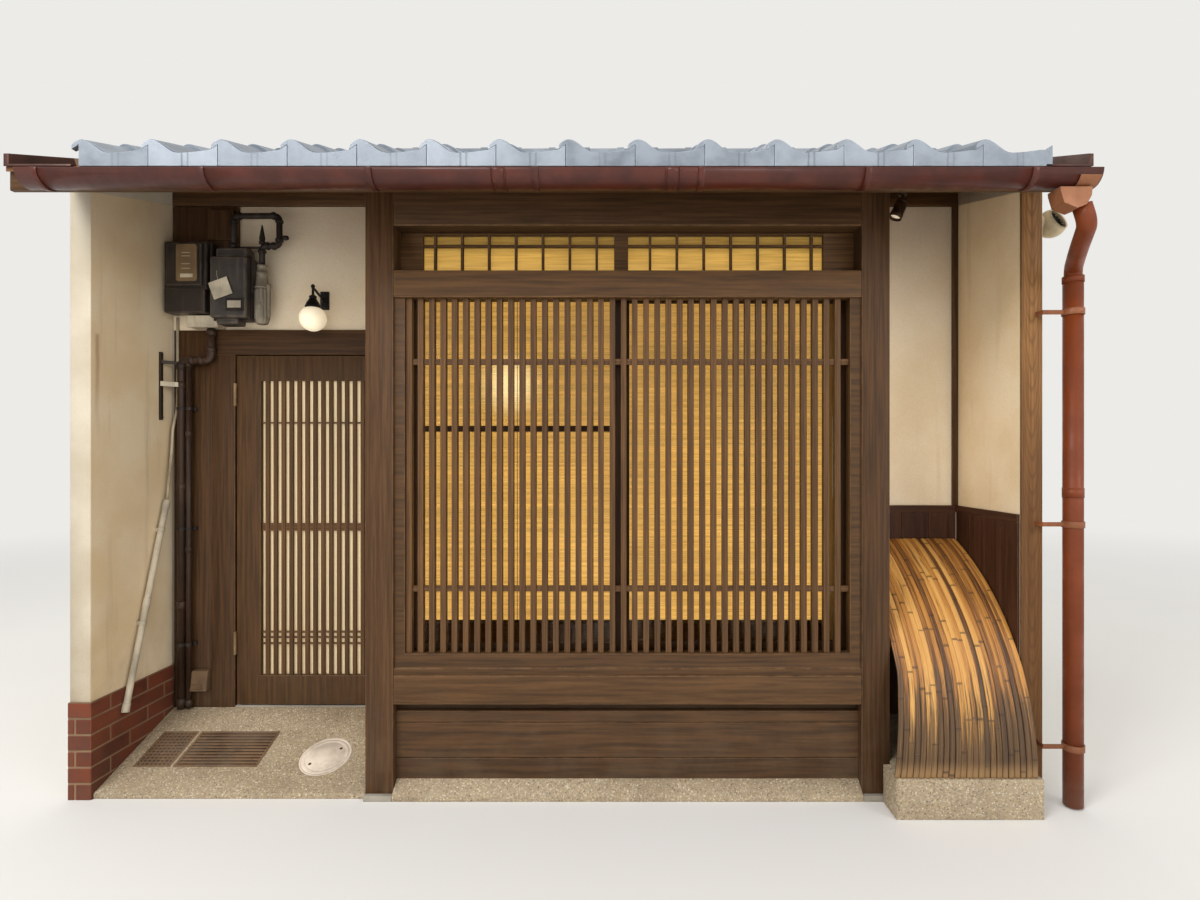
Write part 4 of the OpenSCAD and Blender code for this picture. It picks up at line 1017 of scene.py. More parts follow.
class Shape:
    """Collects one piece's closed solids, each with a map for its grain and a tone of its own."""

    def __init__(self, seed: int = 7) -> None:
        """Starts an empty shape with its own random numbers."""
        self.random = random.Random(seed)
        self.points: list[Vector] = []
        self.faces: list[list[int]] = []
        self.uvs: list[Outline] = []
        self.tones: list[float] = []
        self.smooth: list[bool] = []

    def loft(self, rings: Sequence[Sequence[Place]], smooth: bool = False, tone: float | None = None) -> None:
        """Adds a closed solid through rings of points.

        Args:
            rings: Rings with the same number of points each.
            smooth: Whether its sides are shaded smoothly.
            tone: The solid's tone, or None for a random one.
        """
        rings = [[Vector(p) for p in ring] for ring in rings]
        count, last = len(rings[0]), len(rings) - 1
        tone = self.random.random() if tone is None else tone
        du, dv = self.random.uniform(0, SPREAD), self.random.uniform(0, SPREAD)
        around = distances(rings[0] + rings[0][:1])
        along = distances([sum(ring, Vector()) / count for ring in rings])
        faces, uvs = [], []
        for r, i in ((r, i) for r in range(last) for i in range(count)):
            j, low, high = (i + 1) % count, r * count, (r + 1) * count
            faces.append([low + i, low + j, high + j, high + i])
            uvs.append([(along[r + p], around[i + q]) for p, q in ((0, 0), (0, 1), (1, 1), (1, 0))])
        sides = len(faces)
        for ring, first, order in ((rings[0], 0, range(count - 1, -1, -1)), (rings[-1], last * count, range(count))):
            faces.append([first + i for i in order])
            side = (ring[1] - ring[0]).normalized()
            up = side.cross((ring[2] - ring[1])).cross(side).normalized()
            offsets = [ring[i] - ring[0] for i in order]
            uvs.append([(off.dot(side) * END_GRAIN, off.dot(up)) for off in offsets])
        points = [p for ring in rings for p in ring]
        if volume(points, faces) < 0:
            faces, uvs = [face[::-1] for face in faces], [uv[::-1] for uv in uvs]
        base = len(self.points)
        self.points += points
        self.faces += [[base + i for i in face] for face in faces]
        self.uvs += [[(u * MM + du, v * MM + dv) for u, v in uv] for uv in uvs]
        self.tones += [tone] * len(faces)
        self.smooth += [smooth and i < sides for i in range(len(faces))]

    def box(self, x: Pair, y: Pair, z: Pair, grain: Axis | None = None, tone: float | None = None) -> None:
        """Adds a block.

        Args:
            x: Its limits along X.
            y: Its limits along Y.
            z: Its limits along Z.
            grain: The direction of its grain, or None for its longest side.
            tone: Its tone, or None for a random one.
        """
        limits = (x, y, z)
        grain = grain or max(Axis, key=lambda axis: limits[axis.value][1] - limits[axis.value][0])
        (a0, a1), (b0, b1) = [limits[k] for k in range(3) if k != grain.value]
        self.prism([(a0, b0), (a1, b0), (a1, b1), (a0, b1)], grain, *limits[grain.value], tone=tone)

    def prism(self, outline: Outline, axis: Axis, start: float, end: float, tone: float | None = None) -> None:
        """Draws an outline in the two other directions out along an axis."""
        self.loft([[axis.point(level, p, q) for p, q in outline] for level in (start, end)], tone=tone)

    def tube(self, path: Sequence[Place], radius: float, sides: int = 20, tone: float | None = None) -> None:
        """Adds a round bar along a path.

        Args:
            path: The points that its middle follows.
            radius: Its radius.
            sides: Points round the bar.
            tone: The bar's tone, or None for a random one.
        """
        path = [Vector(p) for p in path]
        rings, normal = [], None
        for i, point in enumerate(path):
            run = (path[min(i + 1, len(path) - 1)] - path[max(i - 1, 0)]).normalized()
            normal = normal or run.orthogonal().normalized()
            normal = (normal - run * normal.dot(run)).normalized()
            rings.append(circle(point, normal, run.cross(normal), radius, sides))
        self.loft(rings, smooth=True, tone=tone)

    def lathe(self, foot: Place, axis: Place, profile: Outline, sides: int = 32, tone: float | None = None) -> None:
        """Turns a profile round an axis.

        Args:
            foot: Where the heights start.
            axis: The direction of the heights.
            profile: Pairs of a radius and a height.
            sides: Points round the axis.
            tone: The solid's tone, or None for a random one.
        """
        axis = Vector(axis).normalized()
        normal = axis.orthogonal().normalized()
        other = axis.cross(normal)
        rings = [circle(Vector(foot) + axis * h, normal, other, max(r, TIP), sides) for r, h in profile]
        self.loft(rings, smooth=True, tone=tone)

    def place(self, name: str, finish: Finish, slot: str, *nodes: str, bevel: float = 0.0, segments: int = 1,
              body: str = "house", rows: "Rows | None" = None) -> None:
        """Makes the piece, in metres, and puts it on its body.

        Args:
            name: The piece's name.
            finish: Its finish.
            slot: The record's material slot.
            nodes: The CAD nodes that it stands for.
            bevel: Width of the rounding on its sharp edges, in millimetres.
            segments: Steps in that rounding.
            body: The body that it rides on.
            rows: How copies of it are set out, which then have tones of their own.
        """
        mesh = bpy.data.meshes.new(name)
        mesh.from_pydata([p * MM for p in self.points], [], self.faces)
        layer = mesh.uv_layers.new(name="grain")
        layer.data.foreach_set("uv", [c for uv in self.uvs for pair in uv for c in pair])
        if not rows:
            tones = [t for face, t in zip(self.faces, self.tones) for _ in face]
            mesh.attributes.new("tone", "FLOAT", "CORNER").data.foreach_set("value", tones)
        mesh.polygons.foreach_set("use_smooth", self.smooth)
        piece = finished(named(name, mesh), finish, bevel, segments)
        if rows:
            rows.lay(piece, finish)
        place(piece, slot, *nodes, body=body)


def named(name: str, mesh: bpy.types.Mesh | bpy.types.Curve) -> Piece:
    """Puts a mesh or curve in the scene under a name."""
    piece = bpy.data.objects.new(name, mesh)
    bpy.context.scene.collection.objects.link(piece)
    return piece


def baked(piece: Piece) -> bpy.types.Mesh:
    """Turns what a piece's modifiers make into its plain mesh.

    Args:
        piece: The piece.

    Returns:
        The new mesh.
    """
    graph = bpy.context.evaluated_depsgraph_get()
    mesh = bpy.data.meshes.new_from_object(piece.evaluated_get(graph))
    if piece.type == "MESH":
        piece.modifiers.clear()
        piece.data = mesh
        mesh.name = piece.name
    return mesh


def finished(piece: Piece, finish: Finish, bevel: float, segments: int) -> Piece:
    """Rounds a piece's sharp edges, marks them for the edge tint (wear, and on timber also a painted highlight), and
    gives it its finish.

    Args:
        piece: The piece.
        finish: Its finish.
        bevel: Width of the rounding in millimetres, or 0.
        segments: Steps in the rounding.

    Returns:
        The piece.
    """
    material = finish.material()
    piece.data.materials.clear()
    piece.data.materials.append(material)
    if bevel:
        piece.data.materials.append(material)
        modifier = piece.modifiers.new("rounding", "BEVEL")
        modifier.width, modifier.segments = bevel * MM, segments
        modifier.limit_method, modifier.angle_limit = "ANGLE", SHARP
        modifier.harden_normals, modifier.material = True, 1
        piece.data.polygons.foreach_set("use_smooth", [True] * len(piece.data.polygons))
        mesh = baked(piece)
        edges = [float(p.material_index == 1) for p in mesh.polygons for _ in range(p.loop_total)]
        mesh.attributes.new("edge", "FLOAT", "CORNER").data.foreach_set("value", edges)
        mesh.polygons.foreach_set("material_index", [0] * len(mesh.polygons))
        mesh.materials.pop(index=1)
    return piece


def islands(faces: bmesh.types.BMFaceSeq) -> list[list[bmesh.types.BMFace]]:
    """Groups the faces that hang together.

    Args:
        faces: The faces.

    Returns:
        The groups, in the order of their first faces.
    """
    left, found = set(faces), []
    for start in list(faces):
        if start not in left:
            continue
        left.discard(start)
        island, queue = [], [start]
        while queue:
            face = queue.pop()
            island.append(face)
            near = {other for edge in face.edges for other in edge.link_faces} & left
            left -= near
            queue += near
        found.append(island)
    return found


def dress(node: str, finish: Finish, slot: str, bevel: float = 2.0, segments: int = 1, body: str = "house") -> Piece:
    """Gives a CAD node rounded edges, grain and a finish, in a piece that stands for it.

    Args:
        node: The node's name.
        finish: The finish.
        slot: The record's material slot.
        bevel: Width of the rounding in millimetres.
        segments: Steps in the rounding.
        body: The body that it rides on.

    Returns:
        The piece.
    """
    chance = random.Random(node)
    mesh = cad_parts[node].data.copy()
    mesh.name = node + "_dressed"
    work = bmesh.new()
    work.from_mesh(mesh)
    bmesh.ops.remove_doubles(work, verts=work.verts, dist=WELD)
    bmesh.ops.dissolve_limit(work, angle_limit=FLAT, verts=work.verts, edges=work.edges)
    uv_layer = work.loops.layers.uv.new("grain")
    tones = work.loops.layers.float.new("tone")
    for island in islands(work.faces):
        corners = [v.co for face in island for v in face.verts]
        size = [max(c[k] for c in corners) - min(c[k] for c in corners) for k in range(3)]
        grain = size.index(max(size))
        tone, du, dv = chance.random(), chance.uniform(0, SPREAD), chance.uniform(0, SPREAD)
        for face in island:
            facing = max(range(3), key=lambda k: abs(face.normal[k]))
            rest = [k for k in range(3) if k not in (grain, facing)]
            for loop in face.loops:
                co = loop.vert.co
                along = co[grain] if facing != grain else co[rest[1]] * END_GRAIN
                loop[uv_layer].uv = (along + du, co[rest[0]] + dv + ASIDE * facing)
                loop[tones] = tone
    work.to_mesh(mesh)
    work.free()
    while len(mesh.uv_layers) > 1:
        mesh.uv_layers.remove(next(layer for layer in mesh.uv_layers if layer.name != "grain"))
    return place(finished(named(mesh.name, mesh), finish, bevel, segments), slot, node, body=body)


def place(piece: Piece, slot: str, *nodes: str, body: str = "house") -> Piece:
    """Puts a piece on its body, and hides the CAD nodes that it stands for.

    Args:
        piece: The piece.
        slot: The record's material slot; not used.
        nodes: The CAD nodes that it stands for.
        body: The body that it rides on.

    Returns:
        The piece.
    """
    if nodes:
        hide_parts(*nodes)
    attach(piece, body)
    log.info("%s: %d faces on %s", piece.name, len(piece.data.polygons), body)
    return piece


def span(node: str) -> tuple[float, ...]:
    """Gives a CAD node's limits in millimetres: two in X, two in Y and two in Z."""
    low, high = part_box(node)
    return (low.x / MM, high.x / MM, low.y / MM, high.y / MM, low.z / MM, high.z / MM)


# Geometry nodes

def set_inputs(modifier: bpy.types.NodesModifier, values: dict[str, object]) -> None:
    """Sets a geometry nodes modifier's inputs by their sockets' identifiers."""
    for item in modifier.node_group.interface.items_tree:
        if item.item_type == "SOCKET" and item.in_out == "INPUT" and item.name in values:
            modifier[item.identifier] = values[item.name]


@dataclass
class Rows:
    """Copies of one shape in columns and rows, each with its own tone, set out by geometry nodes."""

    columns: int
    step: Triple
    seed: int
    rows: int = 1
    row_step: Triple = (0, 0, 0)
    jitter: Triple = (0, 0, 0)

    @staticmethod
    @cache
    def tree() -> Tree:
        """Builds the tree.

        Returns:
            The tree, which every set of rows uses.
        """
        graph, given = Graph.start("rows_of_copies", {
            "Shape": "Geometry", "Columns": "Int", "Rows": "Int", "Column Step": "Vector", "Row Step": "Vector",
            "Jitter": "Vector", "Seed": "Int", "Finish": "Material"}, "Geometry")
        index = graph.add("GeometryNodeInputIndex")
        row = graph.math("FLOOR", (index + 0.5) / given["Columns"])
        column = index - row * given["Columns"]
        where = graph.vector("ADD", graph.scaled(given["Column Step"], column), graph.scaled(given["Row Step"], row))
        back = graph.vector("MULTIPLY", given["Jitter"], (-1.0, -1.0, -1.0))
        feeds = {0: back, 1: given["Jitter"], "Seed": given["Seed"] + 1.0}
        where = graph.vector("ADD", where, graph.add("FunctionNodeRandomValue", feeds, data_type="FLOAT_VECTOR"))
        points = graph.add("GeometryNodePoints", {"Count": given["Columns"] * given["Rows"], "Position": where})
        copies = graph.add("GeometryNodeInstanceOnPoints", {"Points": points, "Instance": given["Shape"]})
        tone = graph.add("FunctionNodeRandomValue", {"Seed": given["Seed"]}, 1, data_type="FLOAT")
        kept = graph.add("GeometryNodeStoreNamedAttribute", {"Geometry": copies, "Name": "tone", "Value": tone},
                         data_type="FLOAT", domain="INSTANCE")
        real = graph.add("GeometryNodeRealizeInstances", {0: kept})
        dressed = graph.add("GeometryNodeSetMaterial", {"Geometry": real, "Material": given["Finish"]})
        return graph.end({"Copies": dressed}, "Geometry")

    def lay(self, unit: Piece, finish: Finish) -> None:
        """Sets out copies of a unit, which becomes the whole piece.

        Args:
            unit: The first copy, in its place.
            finish: The finish of all copies.
        """
        modifier = unit.modifiers.new("copies", "NODES")
        modifier.node_group = self.tree()
        step, row_step, jitter = ([s * MM for s in sizes] for sizes in (self.step, self.row_step, self.jitter))
        set_inputs(modifier, {
            "Columns": self.columns, "Rows": self.rows, "Column Step": step, "Row Step": row_step,
            "Jitter": jitter, "Seed": self.seed, "Finish": finish.material()})
        baked(unit)


class Slats:
    """Geometry nodes that bend straight slats along a path, side by side, with ring nodes."""

    @staticmethod
    def tree() -> Tree:
        """Builds the tree.

        Returns:
            A tree whose geometry is the path, and whose slat runs from 0 to 1 along Z.
        """
        graph, given = Graph.start("slats_on_a_path", {
            "Path": "Geometry", "Slat": "Object", "Count": "Int", "First": "Float", "Pitch": "Float",
            "Splay": "Float", "Splay End": "Float", "Waver": "Float", "Unevenness": "Float", "Ring Gap": "Float",
            "Ring Swell": "Float", "Seed": "Int", "Finish": "Material"}, "Geometry")

        def store(geometry: Value, name: str, value: Value, domain: str) -> Value:
            """Keeps a number in the geometry."""
            return graph.add("GeometryNodeStoreNamedAttribute", {"Geometry": geometry, "Name": name, "Value": value},
                             data_type="FLOAT", domain=domain)

        def kept(name: str) -> Value:
            """Reads a number that the geometry keeps."""
            return graph.add("GeometryNodeInputNamedAttribute", {"Name": name}, data_type="FLOAT")

        slat = graph.add("GeometryNodeObjectInfo", {"Object": given["Slat"]}, "Geometry")
        points = graph.add("GeometryNodePoints", {"Count": given["Count"]})
        copies = graph.add("GeometryNodeInstanceOnPoints", {"Points": points, "Instance": slat})
        copies = store(copies, "number", graph.add("GeometryNodeInputIndex"), "INSTANCE")
        tone = graph.add("FunctionNodeRandomValue", {"Seed": given["Seed"]}, 1, data_type="FLOAT")
        real = graph.add("GeometryNodeRealizeInstances", {0: store(copies, "tone", tone, "INSTANCE")})

        across, out, along = graph.split(graph.add("GeometryNodeInputPosition"))
        tone, number = kept("tone"), kept("number")
        chance = graph.math("FRACT", tone * 17.3)
        phase = along / (given["Ring Gap"] * (chance * 0.6 + 0.85)) + tone * 5.0
        ring = graph.math("ABSOLUTE", graph.math("FRACT", phase) - 0.5)
        ring = graph.span(ring, 0.0, 0.022, 1.0, 0.0)
        swell = ring * given["Ring Swell"] + 1.0

        spot = graph.add("GeometryNodeSampleCurve", {"Curves": given["Path"], "Factor": along}, "Position",
                         mode="FACTOR")
        normal = graph.vector("CROSS_PRODUCT", (1.0, 0.0, 0.0), spot.beside("Tangent"))
        lift = graph.scaled(normal, out * swell + (chance - 0.5) * given["Unevenness"])
        wave = graph.noise(graph.combine(along * 5.0, number * 1.7, 0.3), 1.0)
        sway = (wave - 0.5) * given["Waver"]
        share = 1.0 - number / (given["Count"] - 1.0)
        low = graph.math("SUBTRACT", 1.0, along / given["Splay End"], clamp=True)
        side = given["First"] + number * given["Pitch"] + sway
        side = side + (low * share * given["Splay"] + across * (tone * 0.12 + 0.97) * swell)
        spot = graph.vector("ADD", graph.vector("ADD", spot, lift), graph.combine(side, 0.0, 0.0))
        moved = graph.add("GeometryNodeSetPosition", {"Geometry": store(real, "ring", ring, "POINT"), "Position": spot})
        dressed = graph.add("GeometryNodeSetMaterial", {"Geometry": moved, "Material": given["Finish"]})
        return graph.end({"Slats": dressed}, "Geometry")


# Sub-assemblies

@dataclass
class Ground:
    """Floors, plinths, base stones and the covers in the porch floor."""

    porch_low: float = 25.0
    porch_rise: float = 175.0
    porch_deep: float = 500.0
    cover: float = 8.0
    grates: Pairs = ((-1910.0, -1745.0), (-1730.0, -1355.0))
    grate_y: float = 138.0
    grate_deep: float = 215.0
    rim: float = 11.0
    cross_bars: int = 10
    long_bars: int = 7
    lid_at: Pair = (-1072.0, 195.0)
    lid_r: float = 112.0

    def on_porch(self, x: float, y: float, run: float, rise: float) -> Vector:
        """Gives a point on the sloping floor.

        Args:
            x: Its place along the front.
            y: The place in depth that the run starts from.
            run: How far it lies up the slope.
            rise: How far it stands off the floor.

        Returns:
            The point.
        """
        tilt = math.atan(self.porch_rise / self.porch_deep)
        z = self.porch_low + self.porch_rise * y / self.porch_deep
        up, deep = math.sin(tilt), math.cos(tilt)
        return Vector((x, y + run * deep - rise * up, z + run * up + rise * deep))

    def slab(self, shape: Shape, x: Pair, run: Pair, rise: Pair) -> None:
        """Adds a block that lies in the sloping floor's plane.

        Args:
            shape: The shape that it joins.
            x: Its limits along the front.
            run: Its limits up the slope, from the grates' foot.
            rise: Its limits off the floor.
        """
        corners = ((run[0], rise[0]), (run[1], rise[0]), (run[1], rise[1]), (run[0], rise[1]))
        shape.loft([[self.on_porch(level, self.grate_y, *corner) for corner in corners] for level in x])

    def build(self) -> None:
        """Builds and dresses everything on the ground."""
        for node in ("floor_slab", "bay_floor"):
            dress(node, INSIDE, "concrete", 1.0)
        for node in ("porch_slab", "bay_plinth", "fence_plinth"):
            dress(node, PEBBLES, "pebble", 4.0, 2)
        dress("post_stones", STONE, "pebble", 3.0, 2)
        dress("door_threshold", STONE, "concrete", 3.0, 2)
        self.build_pits()
        self.build_bars()
        self.build_lid()

    def build_pits(self) -> None:
        """Builds the two grates' pits and frames."""
        pits, frames = Shape(11), Shape(10)
        rim, deep, sunk = self.rim, self.grate_deep, (-self.cover, 0)
        for x0, x1 in self.grates:
            self.slab(pits, (x0 + 4, x1 - 4), (4, deep - 4), (-self.cover, -5))
            for x in ((x0, x0 + rim), (x1 - rim, x1)):
                self.slab(frames, x, (0, deep), sunk)
            for run in ((0, rim), (deep - rim, deep)):
                self.slab(frames, (x0 + rim, x1 - rim), run, sunk)
        # The pits are shallow; their dark colour is painted shade of the drain under the grates.
        pits.place("grate_pits", PIT_SHADE, "cover_metal", "drain_covers")
        frames.place("grate_frames", RUST, "cover_metal", bevel=0.8)

    def build_bars(self) -> None:
        """Lays long bars across both grates, and short bars over the smaller one."""
        up = self.on_porch(0, 0, 1, 0) - self.on_porch(0, 0, 0, 0)
        gap = (self.grate_deep - 49) / (self.cross_bars - 1)
        for i, (x0, x1) in enumerate(self.grates):
            cross = Shape(22 + i)
            self.slab(cross, (x0 + self.rim, x1 - self.rim), (20, 29), (-5, -1.0))
            cross.place(f"grate_cross_{i + 1}", RUST, "cover_metal", bevel=0.6,
                        rows=Rows(self.cross_bars, tuple(up * gap), 9 + i))
        x0, x1 = self.grates[0]
        bar = Shape(12)
        self.slab(bar, (x0 + 20, x0 + 27), (self.rim, self.grate_deep - self.rim), (-5, -0.6))
        gap = (x1 - x0 - 47) / (self.long_bars - 1)
        bar.place("grate_bars", RUST, "cover_metal", bevel=0.6, rows=Rows(self.long_bars, (gap, 0, 0), 5))

    def build_lid(self) -> None:
        """Builds the round cover with its rim, a shallow ring and two lifting holes."""
        lid, holes = Shape(31), Shape(32)
        x, y = self.lid_at
        axis = self.on_porch(0, 0, 0, 1) - self.on_porch(0, 0, 0, 0)
        r, h = self.lid_r, self.cover
        steps = ((0, -h), (0, -1), (1, 0), (7, 0), (8, -2), (11, -2), (12, -0.5), (25, -0.5), (26, -1.2),
                 (29, -1.2), (30, -0.5), (r, -0.5))
        lid.lathe(self.on_porch(x, y, 0, -h), axis, [(r - inwards, h + drop) for inwards, drop in steps], 64)
        lid.place("porch_lid", LID, "cover_metal")
        # The lifting holes are shallow; their dark colour is painted shade.
        for dx, run in ((-52, -46), (52, 46)):
            holes.lathe(self.on_porch(x + dx, y, run, -1.2), axis, [(7, 0), (7, 0.9), (0, 0.9)], 16)
        holes.place("lid_holes", PIT_SHADE, "cover_metal")


@dataclass
class Walls:
    """Party walls, plaster, posts, brick dado and the boards of the fence recess."""

    faces: Pair = (-1985.0, 1977.0)
    skin: float = 0.6
    courses: int = 6
    course: float = 69.2
    brick_long: float = 214.0
    joint: float = 9.0
    proud: float = 5.0
    board: float = 135.0
    board_gap: float = 1.5
    rail: float = 34.0

    def build(self) -> None:
        """Builds and dresses the walls."""
        dress("party_walls", OUTER, "plaster", 3.0)
        dress("plaster_walls", CREAM, "plaster", 1.5)
        self.build_lining()
        for node in ("wall_posts", "door_side_board"):
            dress(node, CEDAR, "timber", 2.5)
        dress("wall_beams", BEAM, "timber", 2.5)
        dress("wall_end_post", NATURAL, "end_board", 1.5)
        self.build_dado()
        self.build_recess()

    def build_lining(self) -> None:
        """Adds a skin of cream plaster inside the recesses, on the faces of the party walls."""
        skin = Shape(41)
        outline = [(1, 4), (498, 4), (498, 2724), (1, 2590)]
        left, right = self.faces
        skin.prism(outline, Axis.X, left, left + self.skin)
        skin.prism(outline, Axis.X, right - self.skin, right)
        skin.place("recess_plaster", STAINED, "plaster")

    def build_dado(self) -> None:
        """Lays the brick facing in courses with staggered joints over a mortar bed."""
        x0, x1, y0, y1, z0, z1 = span("brick_dado")
        bed, bricks = Shape(42), Shape(43)
        bed.box((x1 - 10, x1 - 2.5), (y0 + 2.5, y1), (z0, z1 - 2))
        bed.box((x0, x1 - 10), (y0 + 2.5, y0 + 10), (z0, z1 - 2))
        bed.place("dado_mortar", MORTAR, "brick", "brick_dado")
        face, step = x1 - self.proud, self.brick_long + self.joint
        for row in range(self.courses):
            z = (row * self.course + (4 if row else 0), min((row + 1) * self.course - 5, z1))
            start = y0 - step / 2 * (row % 2)
            while start < y1 - 20:
                a, b = max(start, y0), min(start + self.brick_long, y1)
                if b - a > 15:
                    bricks.box((face, x1), (a, b), z, Axis.Y)
                start += step
            cut = face - (102 if row % 2 else 60)
            for a, b in ((x0, cut - self.joint), (cut, face)):
                if b - a > 12:
                    bricks.box((max(a, x0), b), (y0, y0 + self.proud), z, Axis.X)
        bricks.place("dado_bricks", BRICK, "brick", bevel=2.2, segments=2)

    def boards(self, start: float, end: float) -> list[Pair]:
        """Divides a length into boards.

        Args:
            start: Where the length starts.
            end: Where it ends.

        Returns:
            The boards' limits, with a gap after each.
        """
        count = round((end - start) / self.board)
        pitch = (end - start) / count
        return [(start + i * pitch, start + (i + 1) * pitch - self.board_gap) for i in range(count)]

    def build_recess(self) -> None:
        """Sets the upright boards round the fence recess, with a rail along their top."""
        x0, x1, y0, y1, z0, z1 = span("recess_boards")
        cladding = Shape(44)
        top = z1 - self.rail
        for x in self.boards(x0, x1 - 12):
            cladding.box(x, (y1 - 11, y1), (z0, top))
        for y in self.boards(y0, y1 - 12):
            cladding.box((x1 - 11, x1), y, (z0, top))
        cladding.box((x0, x1 - 12), (y1 - 12, y1), (top, z1))
        cladding.box((x1 - 12, x1), (y0, y1), (top, z1))
        cladding.place("recess_cladding", REDDISH, "timber", "recess_boards", bevel=1.6)


@dataclass
class Bay:
    """The bay between its two posts: beams, board panel and the lattice."""

    joints: Pair = (160.0, 313.0)
    half_joint: float = 1.2
    rebate: float = 38.0
    bars: int = 39
    bar_w: float = 24.0
    margins: Pair = (3.0, 36.5)
    cross_z: Pair = (891.0, 1869.0)
    cross_half: Pair = (7.0, 12.5)

    def build(self) -> None:
        """Builds and dresses the bay."""
        dress("bay_posts", CEDAR, "timber", 3.0, 2)
        dress("bay_beams", BEAM, "timber", 4.5, 2)
        dress("lattice_frame", BEAM, "timber", 3.5, 2)
        self.build_panel()
        self.build_lattice()

    def build_panel(self) -> None:
        """Sets three wide boards with open joints below the sill, and a rebate over them."""
        x0, x1, y0, y1, z0, z1 = span("bay_board_panel")
        panel = Shape(51)
        levels = (z0, *self.joints, z1 - self.rebate)
        for low, high in zip(levels, levels[1:]):
            panel.box((x0, x1), (y0, y1), (low + (self.half_joint if low > z0 else 0), high - self.half_joint))
        # The strip at the back of the rebate takes the darkest tone: painted shade under the sill.
        panel.box((x0, x1), (y1 - 8, y1), (z1 - self.rebate - self.half_joint, z1), tone=0.0)
        panel.place("bay_boards", BOARD, "timber", "bay_board_panel", bevel=2.6, segments=2)

    def build_lattice(self) -> None:
        """Sets the upright bars and the cross rails that run through them."""
        x0, x1, y0, y1, z0, z1 = span("lattice_bars")
        bar, rails = Shape(52), Shape(53)
        first = x0 + self.margins[0]
        bar.box((first, first + self.bar_w), (y0, y1), (z0, z1))
        step = (x1 - self.margins[1] - self.bar_w - first) / (self.bars - 1)
        bar.place("lattice_uprights", SLIM, "timber", "lattice_bars", bevel=1.6,
                  rows=Rows(self.bars, (step, 0, 0), 14, jitter=(0.5, 0.3, 0)))
        middle, (deep, high) = (y0 + y1) / 2, self.cross_half
        for z in self.cross_z:
            rails.box((x0, x1), (middle - deep, middle + deep), (z - high, z + high))
        rails.place("lattice_cross_rails", SLIM, "timber", bevel=1.0)


@dataclass
class Windows:
    """Sashes, glass, reed blinds and the transom behind the lattice, and the back window."""

    blind_ends: Pair = (237.0, 313.0)
    reed: float = 7.0
    reed_gap: float = 1.4
    reed_foot: float = 18.0
    tie_gap: float = 190.0
    head_z: float = 2094.0
    head_rise: float = 52.0

    def build(self) -> None:
        """Builds and dresses the windows."""
        for node in ("window_rails", "transom_frame", "back_window_frame"):
            dress(node, SLIM if node == "transom_frame" else CEDAR, "timber", 1.5)
        self.slim_head(dress("window_sashes", CEDAR, "timber", 1.5))
        self.slim_head(dress("window_glass", GLASS, "glass", 0.0))
        x0, x1, y0, _, z0, z1 = span("bamboo_blinds")
        left_end, right_start = self.blind_ends
        for side, x, seed in (("left", (x0, left_end), 21), ("right", (right_start, x1), 22)):
            self.build_reeds(side, x, y0, (z0, z1), seed)
            self.build_ties(side, x, y0, (z0, z1))
        self.build_transom_light()
        self.build_catch()

    def slim_head(self, piece: Piece) -> None:
        """Raises the upper edge of the sashes' openings, whose top rails are slim."""
        for vertex in piece.data.vertices:
            if abs(vertex.co.z - self.head_z * MM) < 4 * MM:
                vertex.co.z += self.head_rise * MM

    def build_reeds(self, side: str, x: Pair, y: float, z: Pair, seed: int) -> None:
        """Builds one blind's reeds, with the sheet behind them, which glows with painted room light between the reeds.

        Args:
            side: "left" or "right", which ends the pieces' names.
            x: The blind's limits along the front.
            y: Its front.
            z: Its foot and its top.
            seed: Seed of the reeds' unevenness.
        """
        pitch, foot = self.reed + self.reed_gap, z[0] + self.reed_foot
        reed, backing = Shape(61), Shape(65)
        section = ((3.8, 0), (1.6, 1.6), (1.0, self.reed / 2), (1.6, self.reed - 1.6), (3.8, self.reed))
        reed.prism([(y + deep, foot + up) for deep, up in section], Axis.X, *x)
        count = int((z[1] - z[0] - 24) / pitch)
        reed.place(f"blind_reeds_{side}", REED, "blind", "bamboo_blinds",
                   rows=Rows(count, (0, 0, pitch), seed, jitter=(2.0, 0.1, 0.2)))
        # The backing sheet glows with painted room light that shows between the reeds.
        backing.box(x, (y + 4.6, y + 5.8), (z[0] + 14, z[1] - 8), tone=0.35)
        backing.place(f"blind_backing_{side}", REED, "blind")

    def build_ties(self, side: str, x: Pair, y: float, z: Pair) -> None:
        """Builds the flat ties that hold one blind's reeds, and its two laths.

        Args:
            side: "left" or "right", which ends the piece's name.
            x: The blind's limits along the front.
            y: Its front.
            z: Its foot and its top.
        """
        ties = Shape(62)
        for lath in ((z[0], z[0] + 16), (z[1] - 10, z[1])):
            ties.box(x, (y + 0.5, y + 5.5), lath, tone=0.1)
        wide = x[1] - x[0]
        count = round(wide / self.tie_gap)
        for i in range(count):
            middle = x[0] + (i + 0.5) * wide / count
            ties.box((middle - 1.3, middle + 1.3), (y + 0.2, y + 1.2), (z[0] + 2, z[1] - 2), tone=0.0)
        ties.place(f"blind_ties_{side}", RAIL, "bamboo", bevel=0.4)

    def build_transom_light(self) -> None:
        """Sets the sheet behind the transom's glass, which glows with painted room light."""
        x0, x1, _, y1, _, _ = span("transom_frame")
        sheet = Shape(63)
        sheet.box((x0 + 92, x1 - 128), (y1 + 8, y1 + 11), (2262, 2438), tone=0.8)
        sheet.place("transom_blind", HIGH_REED, "blind")

    def build_catch(self) -> None:
        """Adds the small catch on the meeting stile of the sashes."""
        catch = Shape(64)
        catch.box((286, 304), (77, 82), (1440, 1500))
        catch.tube([(295, 76, 1490), (295, 70, 1484), (295, 70, 1460)], 4.0, 12)
        catch.place("sash_catch", BLACK, "black_metal", bevel=1.0)


